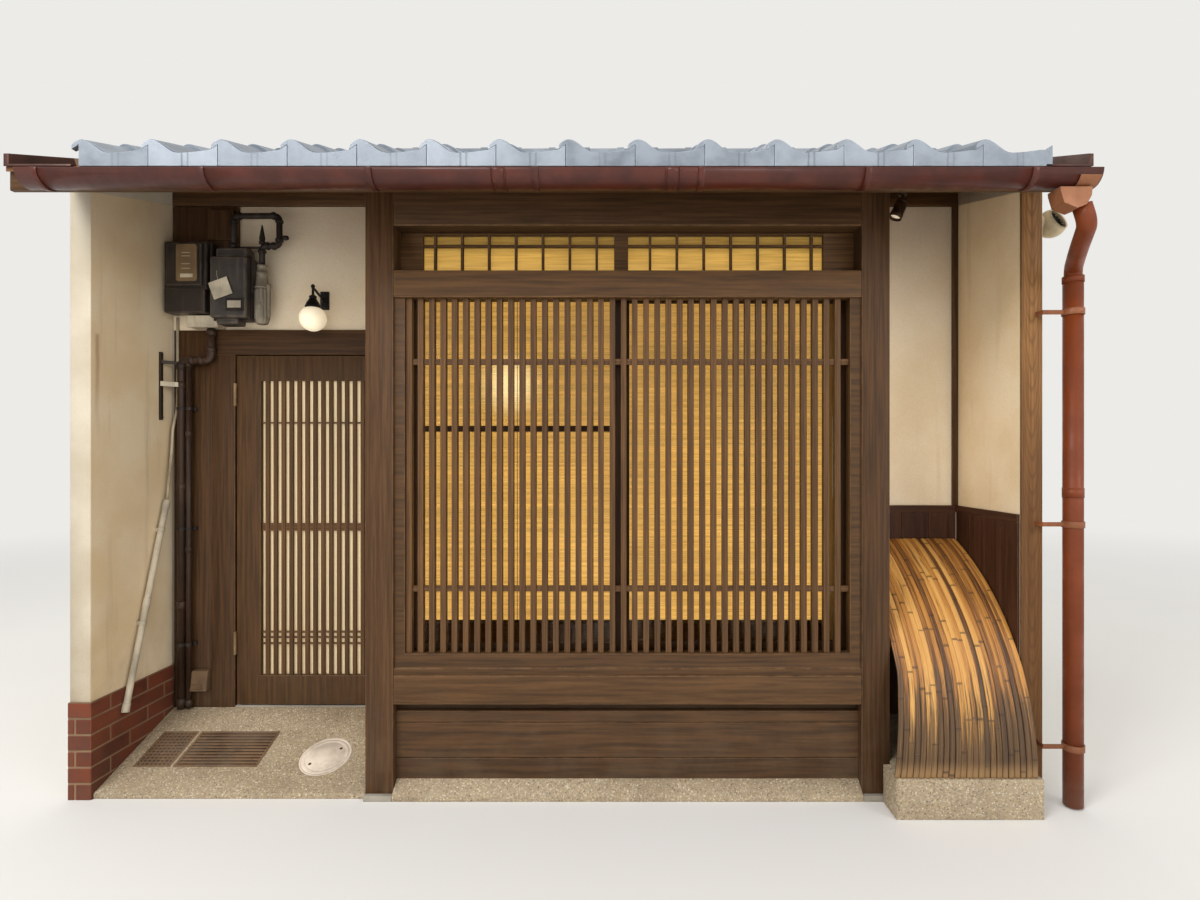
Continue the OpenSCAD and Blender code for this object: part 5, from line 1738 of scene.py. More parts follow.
@dataclass
class Roof:
    """Rafters, boards, wave tiles in courses, straight-footed eave tiles and the ridge."""

    rise: float = 0.4
    soffit: float = 2596.0
    eave_y: float = -296.0
    under: float = 68.0
    deck: float = 88.0
    left: float = -1817.0
    pitch: float = 265.0
    columns: int = 14
    rows: int = 12
    expose: float = 226.0
    overlap: float = 44.0
    first_run: float = 42.0
    bed: float = 50.0
    thick: float = 17.0
    wave: float = 50.0
    crest: float = 39.0
    trough: float = 142.0
    slant: float = 0.9285
    plank: float = 148.0
    lap: float = 27.0
    steps: tuple[float, ...] = (0, 10, 20, 30, 39, 52, 66, 80, 94, 108, 122, 142, 170, 200, 232, 264)
    ridge_layers: int = 3

    def build(self) -> None:
        """Builds and dresses the roof."""
        dress("rafters", SOFFIT, "soffit_timber", 2.0)
        dress("ridge_beam", SOFFIT, "soffit_timber", 3.0)
        dress("eave_boards", CEDAR, "timber", 2.0)
        dress("roof_flashings", FLASHING, "gutter_metal", 1.2)
        self.build_planks()
        for i, side in enumerate(Side):
            self.build_tiles(side, 31 + i)
            self.build_eave(side, 33 + i)
            self.build_bed(side)
        x0, x1, _, _, _, z1 = span("ridge_tiles")
        foot = z1 - 78 - 96
        self.build_layers(x0, x1, foot)
        self.build_caps(x0, (x1 - x0) / self.columns, foot + 95)
        self.build_ends((x0, x1 - 24), foot)

    def height(self, u: float) -> float:
        """Gives the wave's height over the trough.

        Args:
            u: The distance from a tile's lap.

        Returns:
            The height.
        """
        if u <= self.crest:
            return self.wave - 20 * ((self.crest - u) / self.crest) ** 2
        if u <= self.trough:
            turn = math.pi * (u - self.crest) / (self.trough - self.crest)
            return self.wave * (0.5 + 0.5 * math.cos(turn)) ** 1.12
        return 12 * (1 - math.cos(math.pi / 2 * (u - self.trough) / (self.pitch - self.trough)))

    def along(self, side: Side, x: float) -> float:
        """Gives a place along the front by its distance from the first tile's edge, as seen from that eave."""
        return self.left + (x if side is Side.FRONT else self.columns * self.pitch - x)

    def at(self, side: Side, x: float, run: float, lift: float) -> Vector:
        """Gives a point on a slope.

        Args:
            side: Which slope.
            x: The distance from the first tile's edge, seen from that eave.
            run: The distance up the slope from the eave.
            lift: The distance off the roof boards.

        Returns:
            The point in the row frame.
        """
        tilt = math.atan(self.rise)
        y = self.eave_y + run * math.cos(tilt) - lift * math.sin(tilt)
        z = self.soffit + self.rise * self.eave_y + self.deck + run * math.sin(tilt) + lift * math.cos(tilt)
        return side.turned(self.along(side, x), y, z)

    def build_planks(self) -> None:
        """Lays the roof boards as planks along the eaves."""
        planks = Shape(71)
        x0, x1, y0, _, _, _ = span("roof_boards")
        half = RIDGE_Y - 2 - y0
        count = round(half / self.plank)
        for i in range(count):
            a, b = y0 + i * half / count, y0 + (i + 1) * half / count - 1.5
            section = ((a, self.under), (b, self.under), (b, self.deck), (a, self.deck))
            for side in Side:
                planks.loft([[side.turned(x, y, self.soffit + self.rise * y + up) for y, up in section]
                             for x in (x0, x1)])
        planks.place("roof_planks", SOFFIT, "soffit_timber", "roof_boards", bevel=1.2)

    def build_tiles(self, side: Side, seed: int) -> None:
        """Lays one slope's tiles, each tucked under the next course.

        Args:
            side: Which slope.
            seed: Seed of the tiles' unevenness.
        """
        tile = Shape(72)
        rings = []
        for run, drop in ((self.first_run, 0.0), (self.first_run + self.expose + self.overlap, -16.0)):
            tops = [(u, (self.bed + self.height(u)) * self.slant + 3 + drop) for u in self.steps]
            outline = tops + [(u, h - self.thick) for u, h in reversed(tops)]
            rings.append([self.at(side, u, run, h) for u, h in outline])
        tile.loft(rings)
        across = self.at(side, self.pitch, 0, 0) - self.at(side, 0, 0, 0)
        up = self.at(side, 0, self.expose, 0) - self.at(side, 0, 0, 0)
        tile.place(f"roof_tiles_{side.value}", ROOF_TILE, "roof_tile", "roof_tiles", bevel=1.4,
                   rows=Rows(self.columns, tuple(across), seed, self.rows, tuple(up), (0.8, 0.6, 0.4)))

    def build_eave(self, side: Side, seed: int) -> None:
        """Sets the eave tiles' hanging front plates, wavy above and straight below.

        Args:
            side: Which eave.
            seed: Seed of the plates' tones.
        """
        plate = Shape(73)
        base = self.soffit + self.rise * self.eave_y + self.deck
        level, lap = base + self.bed + 2, self.height(self.lap) - self.thick
        left, right = self.lap + 0.8, self.pitch + self.lap - 0.8
        outline = [(left, base + 1), (left, level + lap), (0.8, level + self.height(0) - self.thick)]
        outline += [(0.8, level + self.height(0))]
        tops = (10.0, 20.0, *(u for u in self.steps if u > self.lap))
        outline += [(u, level + self.height(u)) for u in tops]
        outline += [(right, level + lap - 1.6), (right, base + 1)]
        plate.loft([[side.turned(self.along(side, u), self.eave_y + deep, z) for u, z in outline]
                    for deep in (0.0, 24.0)])
        step = self.along(side, self.pitch) - self.along(side, 0)
        plate.place(f"eave_tiles_{side.value}", EAVE_TILE, "roof_tile", bevel=2.2, segments=2,
                    rows=Rows(self.columns, (step, 0, 0), seed))

    def build_bed(self, side: Side) -> None:
        """Lays the mortar under one slope's tiles."""
        bed = Shape(74)
        corners = ((26, 0), (26, 28), (2650, 28), (2650, 0))
        bed.loft([[self.at(side, x, run, up) for run, up in corners] for x in (1, self.columns * self.pitch - 1)])
        bed.place(f"tile_bed_{side.value}", MORTAR, "roof_tile")

    def build_layers(self, x0: float, x1: float, foot: float) -> None:
        """Stacks the flat ridge tiles in layers with staggered joints.

        Args:
            x0: The ridge's left end.
            x1: Its right end.
            foot: The height that it stands on.
        """
        layers = Shape(75)
        length = (x1 - x0) / self.columns
        for layer in range(self.ridge_layers):
            half, low = 130 - 20 * layer, foot + 32 * layer
            cuts = [x0 + (i + 0.5 * (layer % 2)) * length for i in range(self.columns + 1)]
            cuts = sorted({x0, x1, *[c for c in cuts if x0 < c < x1]})
            drop = 52 if layer == 0 else 1
            section = ((-half, -drop), (0, -1), (half, -drop), (half, 29), (0, 31), (-half, 29))
            outline = [(RIDGE_Y + across, low + up) for across, up in section]
            for a, b in zip(cuts, cuts[1:]):
                layers.prism(outline, Axis.X, a + 0.8, b - 0.8)
        layers.place("ridge_layers", RIDGE_TILE, "roof_tile", "ridge_tiles", bevel=2.4, segments=2)

    def build_caps(self, start: float, length: float, base: float) -> None:
        """Lays round caps along the ridge, each with a collar.

        Args:
            start: The ridge's left end.
            length: A cap's length.
            base: The height of their middle.
        """
        cap = Shape(76)
        rings = []
        for x, r in ((0, 69), (length * 0.78, 70), (length * 0.8, 76.5), (length - 2, 77.5)):
            rings.append([(start + 0.5 + x, y, z) for y, z in arc(r, 0, 180, 12, (RIDGE_Y, base))])
        cap.loft(rings, smooth=True)
        cap.place("ridge_caps", RIDGE_TILE, "roof_tile", bevel=1.6,
                  rows=Rows(self.columns, (length, 0, 0), 36, jitter=(0.5, 0.6, 0)))

    def build_ends(self, places: Pair, foot: float) -> None:
        """Sets a rounded plate at each end of the ridge.

        Args:
            places: The plates' left faces.
            foot: The height that the ridge stands on.
        """
        ends = Shape(77)
        top = [(RIDGE_Y + 96 * p, foot + 99 + 78 * q) for p, q in arc(1.0, 0, 180, 14)]
        skirt = [(RIDGE_Y + p, foot + q) for p, q in ((-122, 35), (-122, -46), (122, -46), (122, 35))]
        for x in places:
            ends.prism(top + skirt, Axis.X, x, x + 24)
        ends.place("ridge_end_plates", RIDGE_TILE, "roof_tile", bevel=5.0, segments=2)


@dataclass
class Rainwater:
    """Gutters with rolled lips and joints, hoppers, swan necks, downpipes and bands."""

    r: float = 58.0
    metal: float = 3.0
    joint_x: Pair = (-178.0, 467.0)
    joint_half: float = 28.0
    bead: float = 4.0
    pipe_r: float = 37.5
    neck_r: float = 33.0
    front_pipe: Pair = (2163.0, -58.0)
    back_pipe: Pair = (1910.0, 96.0)
    hopper: Pairs = ((1898, -62), (1900, -78), (1913, -122), (1962, -142), (1998, -128), (2016, -94), (2019, -62))

    def build(self) -> None:
        """Builds and dresses the rainwater goods."""
        dress("gutter_straps", GUTTER_PAINT, "gutter_metal", 0.8)
        dress("pipe_bands", PIPE_BAND, "pipe_metal", 0.8)
        x0, x1, y0, _, _, top = span("gutters")
        middle = y0 + self.r
        for side in Side:
            self.build_gutter(side, x0, x1, middle, top)
        for side, (x, y) in ((Side.FRONT, self.front_pipe), (Side.BACK, self.back_pipe)):
            self.build_hopper(side, middle, top)
            self.build_pipe(side, x, y, middle, top)

    def build_gutter(self, side: Side, x0: float, x1: float, y: float, z: float) -> None:
        """Builds one gutter: trough, lips, stop ends and joint collars.

        Args:
            side: Which eave.
            x0: Its left end.
            x1: Its right end.
            y: Its middle, as at the front.
            z: Its top.
        """
        gutter = Shape(81)

        def draw(section: Outline, a: float, b: float, smooth: bool = True) -> None:
            """Draws a section out along the eave."""
            gutter.loft([[side.turned(x, y + p, z + q) for p, q in section] for x in (a, b)], smooth, 0.5)

        draw(band(self.r, self.r - self.metal, 180, 360, 20), x0, x1)
        for lip in (-1, 1):
            gutter.tube([side.turned(x, y + lip * (self.r - 4), z - 3.5) for x in (x0, x1)], 4.0, 12, tone=0.5)
        for a in (x0, x1 - self.metal):
            draw(arc(self.r - 2, 180, 360, 20), a, a + self.metal, smooth=False)
        for x in self.joint_x:
            draw(band(self.r + 1.6, self.r - 1, 180, 360, 20), x - self.joint_half, x + self.joint_half)
            for edge in (x - self.joint_half, x + self.joint_half - self.bead):
                draw(band(self.r + 2.6, self.r - 1, 180, 360, 20), edge, edge + self.bead)
        gutter.place(f"gutter_{side.value}", GUTTER_PAINT, "gutter_metal", "gutters")

    def build_hopper(self, side: Side, y: float, top: float) -> None:
        """Builds the hopper that a gutter runs out into, with the collar that holds it.

        Args:
            side: Which eave.
            y: The gutter's middle, as at the front.
            top: The gutter's top.
        """
        hopper = Shape(82)
        near, far = sorted(side.turned(0, y + q, 0).y for q in (-36, 36))
        hopper.prism([(x, top + up) for x, up in self.hopper], Axis.Y, near, far)
        collar = band(self.r + 3.4, self.r + 0.4, 205, 335, 13)
        hopper.loft([[side.turned(x, y + p, top + q) for p, q in collar] for x in (1962, 2040)])
        hopper.place(f"hopper_{side.value}", COPPER, "pipe_metal", bevel=1.4, segments=2)

    def build_pipe(self, side: Side, x: float, wall_y: float, y: float, top: float) -> None:
        """Builds one swan neck and the downpipe.

        Args:
            side: Which eave.
            x: The downpipe's place along the front.
            wall_y: Its place in depth, as at the front.
            y: The gutter's middle.
            top: The gutter's top.
        """
        pipe = Shape(83)
        knee = top - 276
        out, over = (2026, 2090) if side is Side.FRONT else (1998, 1952)
        path = [(2004, y, top - 118), (out, y, top - 188), (over, (y + wall_y) / 2, top - 236), (x, wall_y, knee),
                (x, wall_y, knee - 70)]
        pipe.tube([side.turned(*p) for p in rounded(path, 84, 9)], self.neck_r, 28, tone=0.6)
        for low, high, more in ((8.0, knee - 45, 0), (knee - 60, knee - 34, 2.5), (1290.0, 1330.0, 2)):
            pipe.tube([side.turned(x, wall_y, z) for z in (low, high)], self.pipe_r + more, 28, tone=0.6)
        pipe.place(f"downpipe_{side.value}", PIPE_PAINT, "pipe_metal", "downpipes")


@dataclass
class Fence:
    """The arch of split bamboo slats on its plinth, and the rails behind it."""

    slats: int = 24
    wide: float = 21.0
    first: float = 1443.0
    pitch: float = 22.04
    splay: float = -50.0
    splay_end: float = 0.36
    waver: float = 5.0
    uneven: float = 3.0
    ring_gap: float = 0.23
    swell: float = 0.1
    back: float = 9.0
    lower: Triple = (740.0, 162.0, 890.0)
    upper: Triple = (956.4, -54.4, 1196.0)
    turns: Triple = (180.0, 135.0, 112.6)
    arc_steps: int = 16
    slat_steps: int = 220
    crown: Pairs = ((-1.0, 0.0), (-1.0, 5.2), (-0.86, 6.6), (-0.4, 7.6), (0.0, 7.9), (0.4, 7.6), (0.86, 6.6),
                    (1.0, 5.2), (1.0, 0.0))

    def path(self) -> Piece:
        """Gives the curve that a slat's back follows, from the foot up.

        Returns:
            The curve's object.
        """
        foot, knee, end = self.turns
        places = []
        for (y, z, r), start, stop in ((self.lower, foot, knee), (self.upper, knee, end)):
            bend = arc(r - self.back, start, stop, self.arc_steps, (y, z))
            places += bend[1:] if places else bend
        curve = bpy.data.curves.new("fence_path", "CURVE")
        curve.dimensions = "3D"
        spline = curve.splines.new("POLY")
        spline.points.add(len(places) - 1)
        spline.points.foreach_set("co", [c for y, z in places for c in (0.0, y * MM, z * MM, 1.0)])
        return named("fence_path", curve)

    def slat(self) -> Piece:
        """Gives one straight slat, crowned across, from 0 to 1 along Z.

        Returns:
            The slat's object.
        """
        mesh = bpy.data.meshes.new("straight_slat")
        half, steps, count = self.wide / 2 * MM, self.slat_steps, len(self.crown)
        points = [(x * half, y * MM, i / steps) for i in range(steps + 1) for x, y in self.crown]
        faces = []
        for low, k in ((i * count, k) for i in range(steps) for k in range(count)):
            j = (k + 1) % count
            faces.append([low + k, low + j, low + count + j, low + count + k])
        faces += [list(range(count))[::-1], [steps * count + k for k in range(count)]]
        mesh.from_pydata(points, [], faces)
        layer = mesh.uv_layers.new(name="grain")
        for loop in mesh.loops:
            x, _, z = mesh.vertices[loop.vertex_index].co
            layer.data[loop.index].uv = (z * 1.3, x)
        mesh.polygons.foreach_set("use_smooth", [i < len(faces) - 2 for i in range(len(faces))])
        return named("straight_slat", mesh)

    def build(self) -> None:
        """Bends the slats along the arch and dresses the rails."""
        path, slat = self.path(), self.slat()
        modifier = path.modifiers.new("slats", "NODES")
        modifier.node_group = Slats.tree()
        set_inputs(modifier, {
            "Slat": slat, "Count": self.slats, "First": self.first * MM, "Pitch": self.pitch * MM,
            "Splay": self.splay * MM, "Splay End": self.splay_end, "Waver": self.waver * MM,
            "Unevenness": self.uneven * MM, "Ring Gap": self.ring_gap, "Ring Swell": self.swell, "Seed": 8,
            "Finish": SKIN.material()})
        mesh = baked(path)
        work = bmesh.new()
        work.from_mesh(mesh)
        bmesh.ops.recalc_face_normals(work, faces=work.faces)
        work.to_mesh(mesh)
        work.free()
        for spare in (path, slat):
            bpy.data.objects.remove(spare)
        place(named("bamboo_arch", mesh), "bamboo", "fence_slats")
        dress("fence_rails", RAIL, "bamboo", 1.5)


Blocks = tuple[tuple[Pair, Pair, Pair], ...]


def collar(r: float, more: float, long: float, slope: float = 2.0) -> list[Pair]:
    """Gives the profile of a ring round a pipe of radius r, with sloped ends."""
    return [(r, 0), (r + more, slope), (r + more, long - slope), (r, long)]


@dataclass
class Lamp:
    """The wall lamp: its plate, bent arm, shade and opal globe."""

    r: float = 62.0
    arm: float = 6.0
    boss: Pairs = ((15, -2), (15, 4), (10, 8), (8, 20), (0, 20))
    knob: Pairs = ((0, -2), (6, 0), (6, 8), (9, 12), (10, 17), (8, 22), (4, 26), (0, 28))
    shade: Pairs = ((34, 0), (36, 2), (36.5, 8), (34, 10), (33, 14), (29, 24), (21, 36), (16, 46), (16, 49), (18, 51),
                    (18, 55), (14, 58), (9, 62), (0, 62))
    screw: Pairs = ((4, 0), (4, 1), (2.5, 2.5), (0, 3))

    def build(self) -> None:
        """Builds the lamp."""
        x0, x1, y0, y1, z0, _ = span("lamp_globe")
        x, y, z = (x0 + x1) / 2, (y0 + y1) / 2, z0 + self.r
        wall = span("wall_lamp")[3]
        globe, plate, lamp = Shape(91), Shape(92), Shape(93)
        globe.lathe((x, y, z), UP, arc(self.r, -90, 50, 20) + [(30, 52)], 40, tone=0.5)
        globe.place("opal_globe", OPAL, "globe", "lamp_globe")
        plate.box((x - 23, x + 23), (wall - 7, wall), (z + 70, z + 162))
        plate.box((x - 16, x + 16), (wall - 12, wall - 7), (z + 78, z + 154))
        plate.place("lamp_plate", BLACK, "black_metal", "wall_lamp", bevel=2.4, segments=3)
        bends = [(x, wall - 10, z + 116), (x, wall - 58, z + 128), (x, y, z + 152), (x, y, z + 104)]
        lamp.tube(rounded(bends, 30, 8), self.arm, 16)
        lamp.lathe((x, wall - 12, z + 115), (0, -1, 0.2), self.boss, 24)
        lamp.lathe((x, y, z + 140), UP, self.knob, 20)
        lamp.lathe((x, y, z + 52), UP, self.shade, 36)
        for away in (-32, 32):
            lamp.lathe((x, wall - 12, z + 116 + away), OUT, self.screw, 12)
        lamp.place("lamp_holder", BLACK, "black_metal")


@dataclass
class Spotlight:
    """The small spotlight under the roof: canopy, stem, can and lens."""

    y: float = 290.0
    inset: float = 22.5
    aim: Triple = (-0.4226, 0.0, -0.9063)
    drop: float = 45.0
    reach: float = 78.2
    canopy: Pairs = ((22, 0), (22, 8), (20, 11), (10, 13), (0, 13))
    joint: Pairs = ((0, 0), (9, 0), (11, 2), (11, 20), (9, 22), (0, 22))
    can: Pairs = ((0, -3), (14, -3), (23, 1), (27, 8), (27.5, 12), (26, 14), (26, 17), (27.5, 19), (27.5, 66),
                  (30, 69), (30, 91), (27, 91), (25, 78), (0, 78))
    lens: Pairs = ((24, 0), (24, 1.5), (16, 4), (0, 5))

    def build(self) -> None:
        """Builds the spotlight."""
        top = Vector((span("spotlight")[1] - self.inset, self.y, Roof.soffit + Roof.rise * self.y))
        aim, knuckle = Vector(self.aim), top - UP * self.drop
        spot, lens = Shape(94), Shape(95)
        spot.lathe(top - UP * 9, (0, 0, -1), self.canopy, 28)
        spot.tube([top - UP * 18, top - UP * 52], 6.5, 16)
        spot.lathe(knuckle - OUT * 11, OUT, self.joint, 20)
        spot.lathe(knuckle, aim, self.can, 36)
        spot.place("spotlight_can", BRONZE, "black_metal", "spotlight")
        lens.lathe(knuckle + aim * self.reach, aim, self.lens, 28, tone=0.5)
        lens.place("spotlight_lens", OPAL, "globe")


@dataclass
class ElectricMeter:
    """The electric meter with its window on the dark board, and the pale joint box."""

    board: float = 18.0
    board_z: float = 2175.0
    case: Blocks = (
        ((-1973, -1748), (-52, 0), (2168, 2524)), ((-1966, -1756), (-82, -40), (2278, 2516)),
        ((-1962, -1760), (-90, -40), (2165, 2286)), ((-1950, -1772), (-96, -70), (2296, 2508)),
        ((-1900, -1820), (-20, 0), (2516, 2532)))
    window_x: Pair = (-1880.0, -1804.0)
    window_z: Pair = (2330.0, 2484.0)
    window_r: float = 14.0
    strips: tuple[float, ...] = (2376, 2398, 2436, 2452)
    joint_box: Blocks = (
        ((-1869, -1721), (-60, 0), (2101, 2159)), ((-1872, -1718), (-74, -58), (2100, 2160)))

    def build(self) -> None:
        """Builds the board, the meter's case and face, and the joint box."""
        x0, x1, _, wall, _, z1 = span("electric_meter")
        back = wall - self.board
        board, box = Shape(96), Shape(100)
        board.box((x0, x1), (back, wall), (self.board_z, z1))
        board.box((x0 + 190, x1 - 14), (wall - 40, back), (2545, z1 - 26))
        board.place("meter_board", CEDAR, "timber", "electric_meter", bevel=3.0, segments=2)
        self.build_meter(back)
        for x, y, z in self.joint_box:
            box.box(x, (wall + y[0], wall + y[1]), z)
        box.place("joint_box", IVORY, "white_plastic", bevel=4.0, segments=3)

    def build_meter(self, back: float) -> None:
        """Builds the meter's case, its window and what shows in it.

        Args:
            back: The board's face.
        """
        case, face, register = Shape(97), Shape(98), Shape(99)
        for x, y, z in self.case:
            case.box(x, (back + y[0], back + y[1]), z)
        case.place("electric_case", METER, "meter_grey", bevel=18.0, segments=5)
        (left, right), (foot, top) = self.window_x, self.window_z
        outline = []
        for turn, corner in ((0, (right, top)), (90, (left, top)), (180, (left, foot)), (270, (right, foot))):
            outline += arc(self.window_r, turn, turn + 90, 6, corner)
        face.prism(outline, Axis.Y, back - 104, back - 95)
        face.place("meter_window", WINDOW, "glass", bevel=3.0, segments=2)
        register.box((-1870, -1808), (back - 106, back - 103), (2333, 2352), tone=1.0)
        for z in self.strips:
            register.box((-1866, -1822), (back - 105, back - 103), (z, z + 4), tone=0.2)
        register.place("meter_register", IVORY, "white_plastic", bevel=0.8)


@dataclass
class GasMeter:
    """The gas meter: two shells with a seam, a counter strip and a blank card."""

    union: Pairs = ((24, -12), (24, 1), (0, 1))
    bolt: Pairs = ((6, 0), (6, 4), (3, 5), (0, 5))
    card_at: Pair = (-1651.0, 2271.0)
    card_turn: float = 20.0
    card_half: Pair = (47.0, 43.0)

    def build(self) -> None:
        """Builds the shells, the trim and the card."""
        x0, x1, y0, y1, z0, z1 = span("gas_meter")
        body, trim = Shape(111), Shape(112)
        body.box((x0 + 2, x1 - 2), (y0 + 56, y1 - 14), (z0 + 26, z1 - 44))
        body.box((x0 + 4, x1 - 4), (y0 + 8, y0 + 52), (z0 + 30, z1 - 50))
        body.box((x0 + 16, x1 - 16), (y0 + 36, y1 - 30), (z1 - 50, z1))
        body.box((x0 + 26, x1 - 52), (y0 + 22, y1 - 40), (z0, z0 + 34))
        body.place("gas_case", GAS, "gas_grey", "gas_meter", bevel=12.0, segments=4)
        trim.box((x0, x1), (y0 + 49, y0 + 57), (z0 + 22, z1 - 40))
        trim.box((x0 + 44, x1 - 44), (y1 - 15, y1), (z0 + 60, z1 - 60))
        trim.box((x0 + 86, x1 - 14), (y0 + 2, y0 + 12), (z0 + 60, z0 + 124))
        for x in (x0 + 40, x1 - 40):
            trim.lathe((x, y0 + 76, z1 - 1), UP, self.union, 24)
        low, high = z0 + 34, z1 - 52
        for x, z in ((x0 + 12, low), (x1 - 12, low), (x0 + 12, high), (x1 - 12, high), (x0 + 92, low), (x0 + 92, high)):
            trim.lathe((x, y0 + 50, z), OUT, self.bolt, 6)
        trim.place("gas_trim", PIPE_GREY, "gas_grey", bevel=1.5, segments=2)
        self.build_card((x0 + 96, x1 - 24), y0, (z0 + 76, z0 + 110))

    def build_card(self, x: Pair, y: float, z: Pair) -> None:
        """Builds the counter strip, and the blank card that hangs askew on its string.

        Args:
            x: The strip's limits along the front.
            y: Its face.
            z: Its foot and its top.
        """
        strip = Shape(113)
        strip.box(x, (y, y + 4), z, tone=0.8)
        cx, cz = self.card_at
        half, high = self.card_half
        cos, sin = math.cos(math.radians(self.card_turn)), math.sin(math.radians(self.card_turn))
        corners = ((-half, -high), (half, -high), (half, high), (-half, high))
        card = [(cx + a * cos - b * sin, cz + a * sin + b * cos) for a, b in corners]
        strip.prism(card, Axis.Y, y - 1.5, y + 0.5, tone=0.6)
        strip.tube([(cx - 12, y - 1, cz + 42), (cx - 20, y + 2, cz + 70), (cx - 24, y + 12, cz + 96)], 1.2, 8)
        strip.place("gas_card", IVORY, "white_plastic", bevel=0.4)


@dataclass
class GasLoop:
    """The pipe loop over the gas meter, with its ribbed regulator, cone and tap."""

    y: float = 430.0
    r: float = 14.0
    corners: Pairs = ((-1631, 2480.3), (-1631, 2646), (-1407, 2646), (-1407, 2498), (-1492, 2498), (-1492, 2396))
    tap: Pairs = ((8, 0), (12, 1), (12, 14), (10, 16), (10, 22), (0, 22))
    spindle: Pairs = ((0, 0), (15, 2), (15, 12), (11, 17), (14, 28), (9, 60), (3, 95), (0, 98))
    ribs: int = 12
    rib_steps: int = 72
    shell: tuple[Triple, ...] = ((2110, 18, 0), (2112, 24, 0), (2120, 29, 0), (2134, 31, 1.0), (2140, 31, 3.2),
                                 (2272, 31, 3.2), (2278, 30, 1.0), (2288, 29, 0))
    cone: Pairs = ((29, 2286), (33, 2288), (33, 2296), (29, 2299), (27, 2330), (24, 2352), (27, 2354), (27, 2366),
                   (23, 2368), (21, 2392), (24, 2394), (24, 2402), (0, 2402))
    tube: Pairs = ((0, 2146), (9, 2148), (11, 2156), (11, 2290), (13, 2294), (13, 2306), (9, 2312), (0, 2314))
    cap: Pairs = ((16, -4), (16, 3), (13, 5), (0, 5))

    def build(self) -> None:
        """Builds the loop, then the regulator at its foot."""
        pipe = Shape(114)
        y, r = self.y, self.r
        path = [Vector((x, y, z)) for x, z in self.corners]
        pipe.tube(rounded(path, 26, 6), r, 20)
        elbow = [(r, 0), (r + 4, 1), (r + 5, 3), (r + 5, 12), (r + 4, 14), (r, 15)]
        for before, corner, after in zip(path, path[1:], path[2:]):
            for other in (before, after):
                run = (other - corner).normalized()
                pipe.lathe(corner + run * 20, run, elbow, 20)
        pipe.lathe(path[0] + UP * 6, UP, collar(r, 8, 23, 1), 6)
        pipe.tube([(-1407, y, 2538), (-1364, y, 2538)], 8.0, 16)
        pipe.lathe((-1386, y, 2538), EAST, self.tap, 16)
        pipe.box((-1380, -1372), (y - 22, y - 8), (2534, 2542))
        pipe.tube([(-1529.7, y, 2150), (-1508, y, 2150)], 12.0, 16)
        pipe.lathe((-1492, y, 2506), UP, self.spindle, 16)
        pipe.tube([(-1631, y, 2489), (-1495, y, 2489)], 6.5, 14)
        pipe.place("gas_loop", PIPE_GREY, "gas_grey", "gas_pipes")
        self.build_regulator(Vector((-1492, y, 0)))

    def build_regulator(self, foot: Vector) -> None:
        """Builds the regulator: ribbed shell, cone, side tube and cap.

        Args:
            foot: Where its middle meets the ground.
        """
        regulator = Shape(115)
        rings = []
        for z, radius, rib in self.shell:
            ring = []
            for t in [math.tau * k / self.rib_steps for k in range(self.rib_steps)]:
                out = radius + rib * math.cos(self.ribs * t)
                ring.append(foot + Vector((out * math.cos(t), out * math.sin(t), z)))
            rings.append(ring)
        regulator.loft(rings, smooth=True)
        regulator.lathe(foot, UP, self.cone, 36)
        regulator.lathe(foot + EAST * 30, UP, self.tube, 20)
        regulator.lathe(foot + OUT * 30 + UP * 2196, OUT, self.cap, 24)
        regulator.place("gas_regulator", GAS_PALE, "gas_grey")


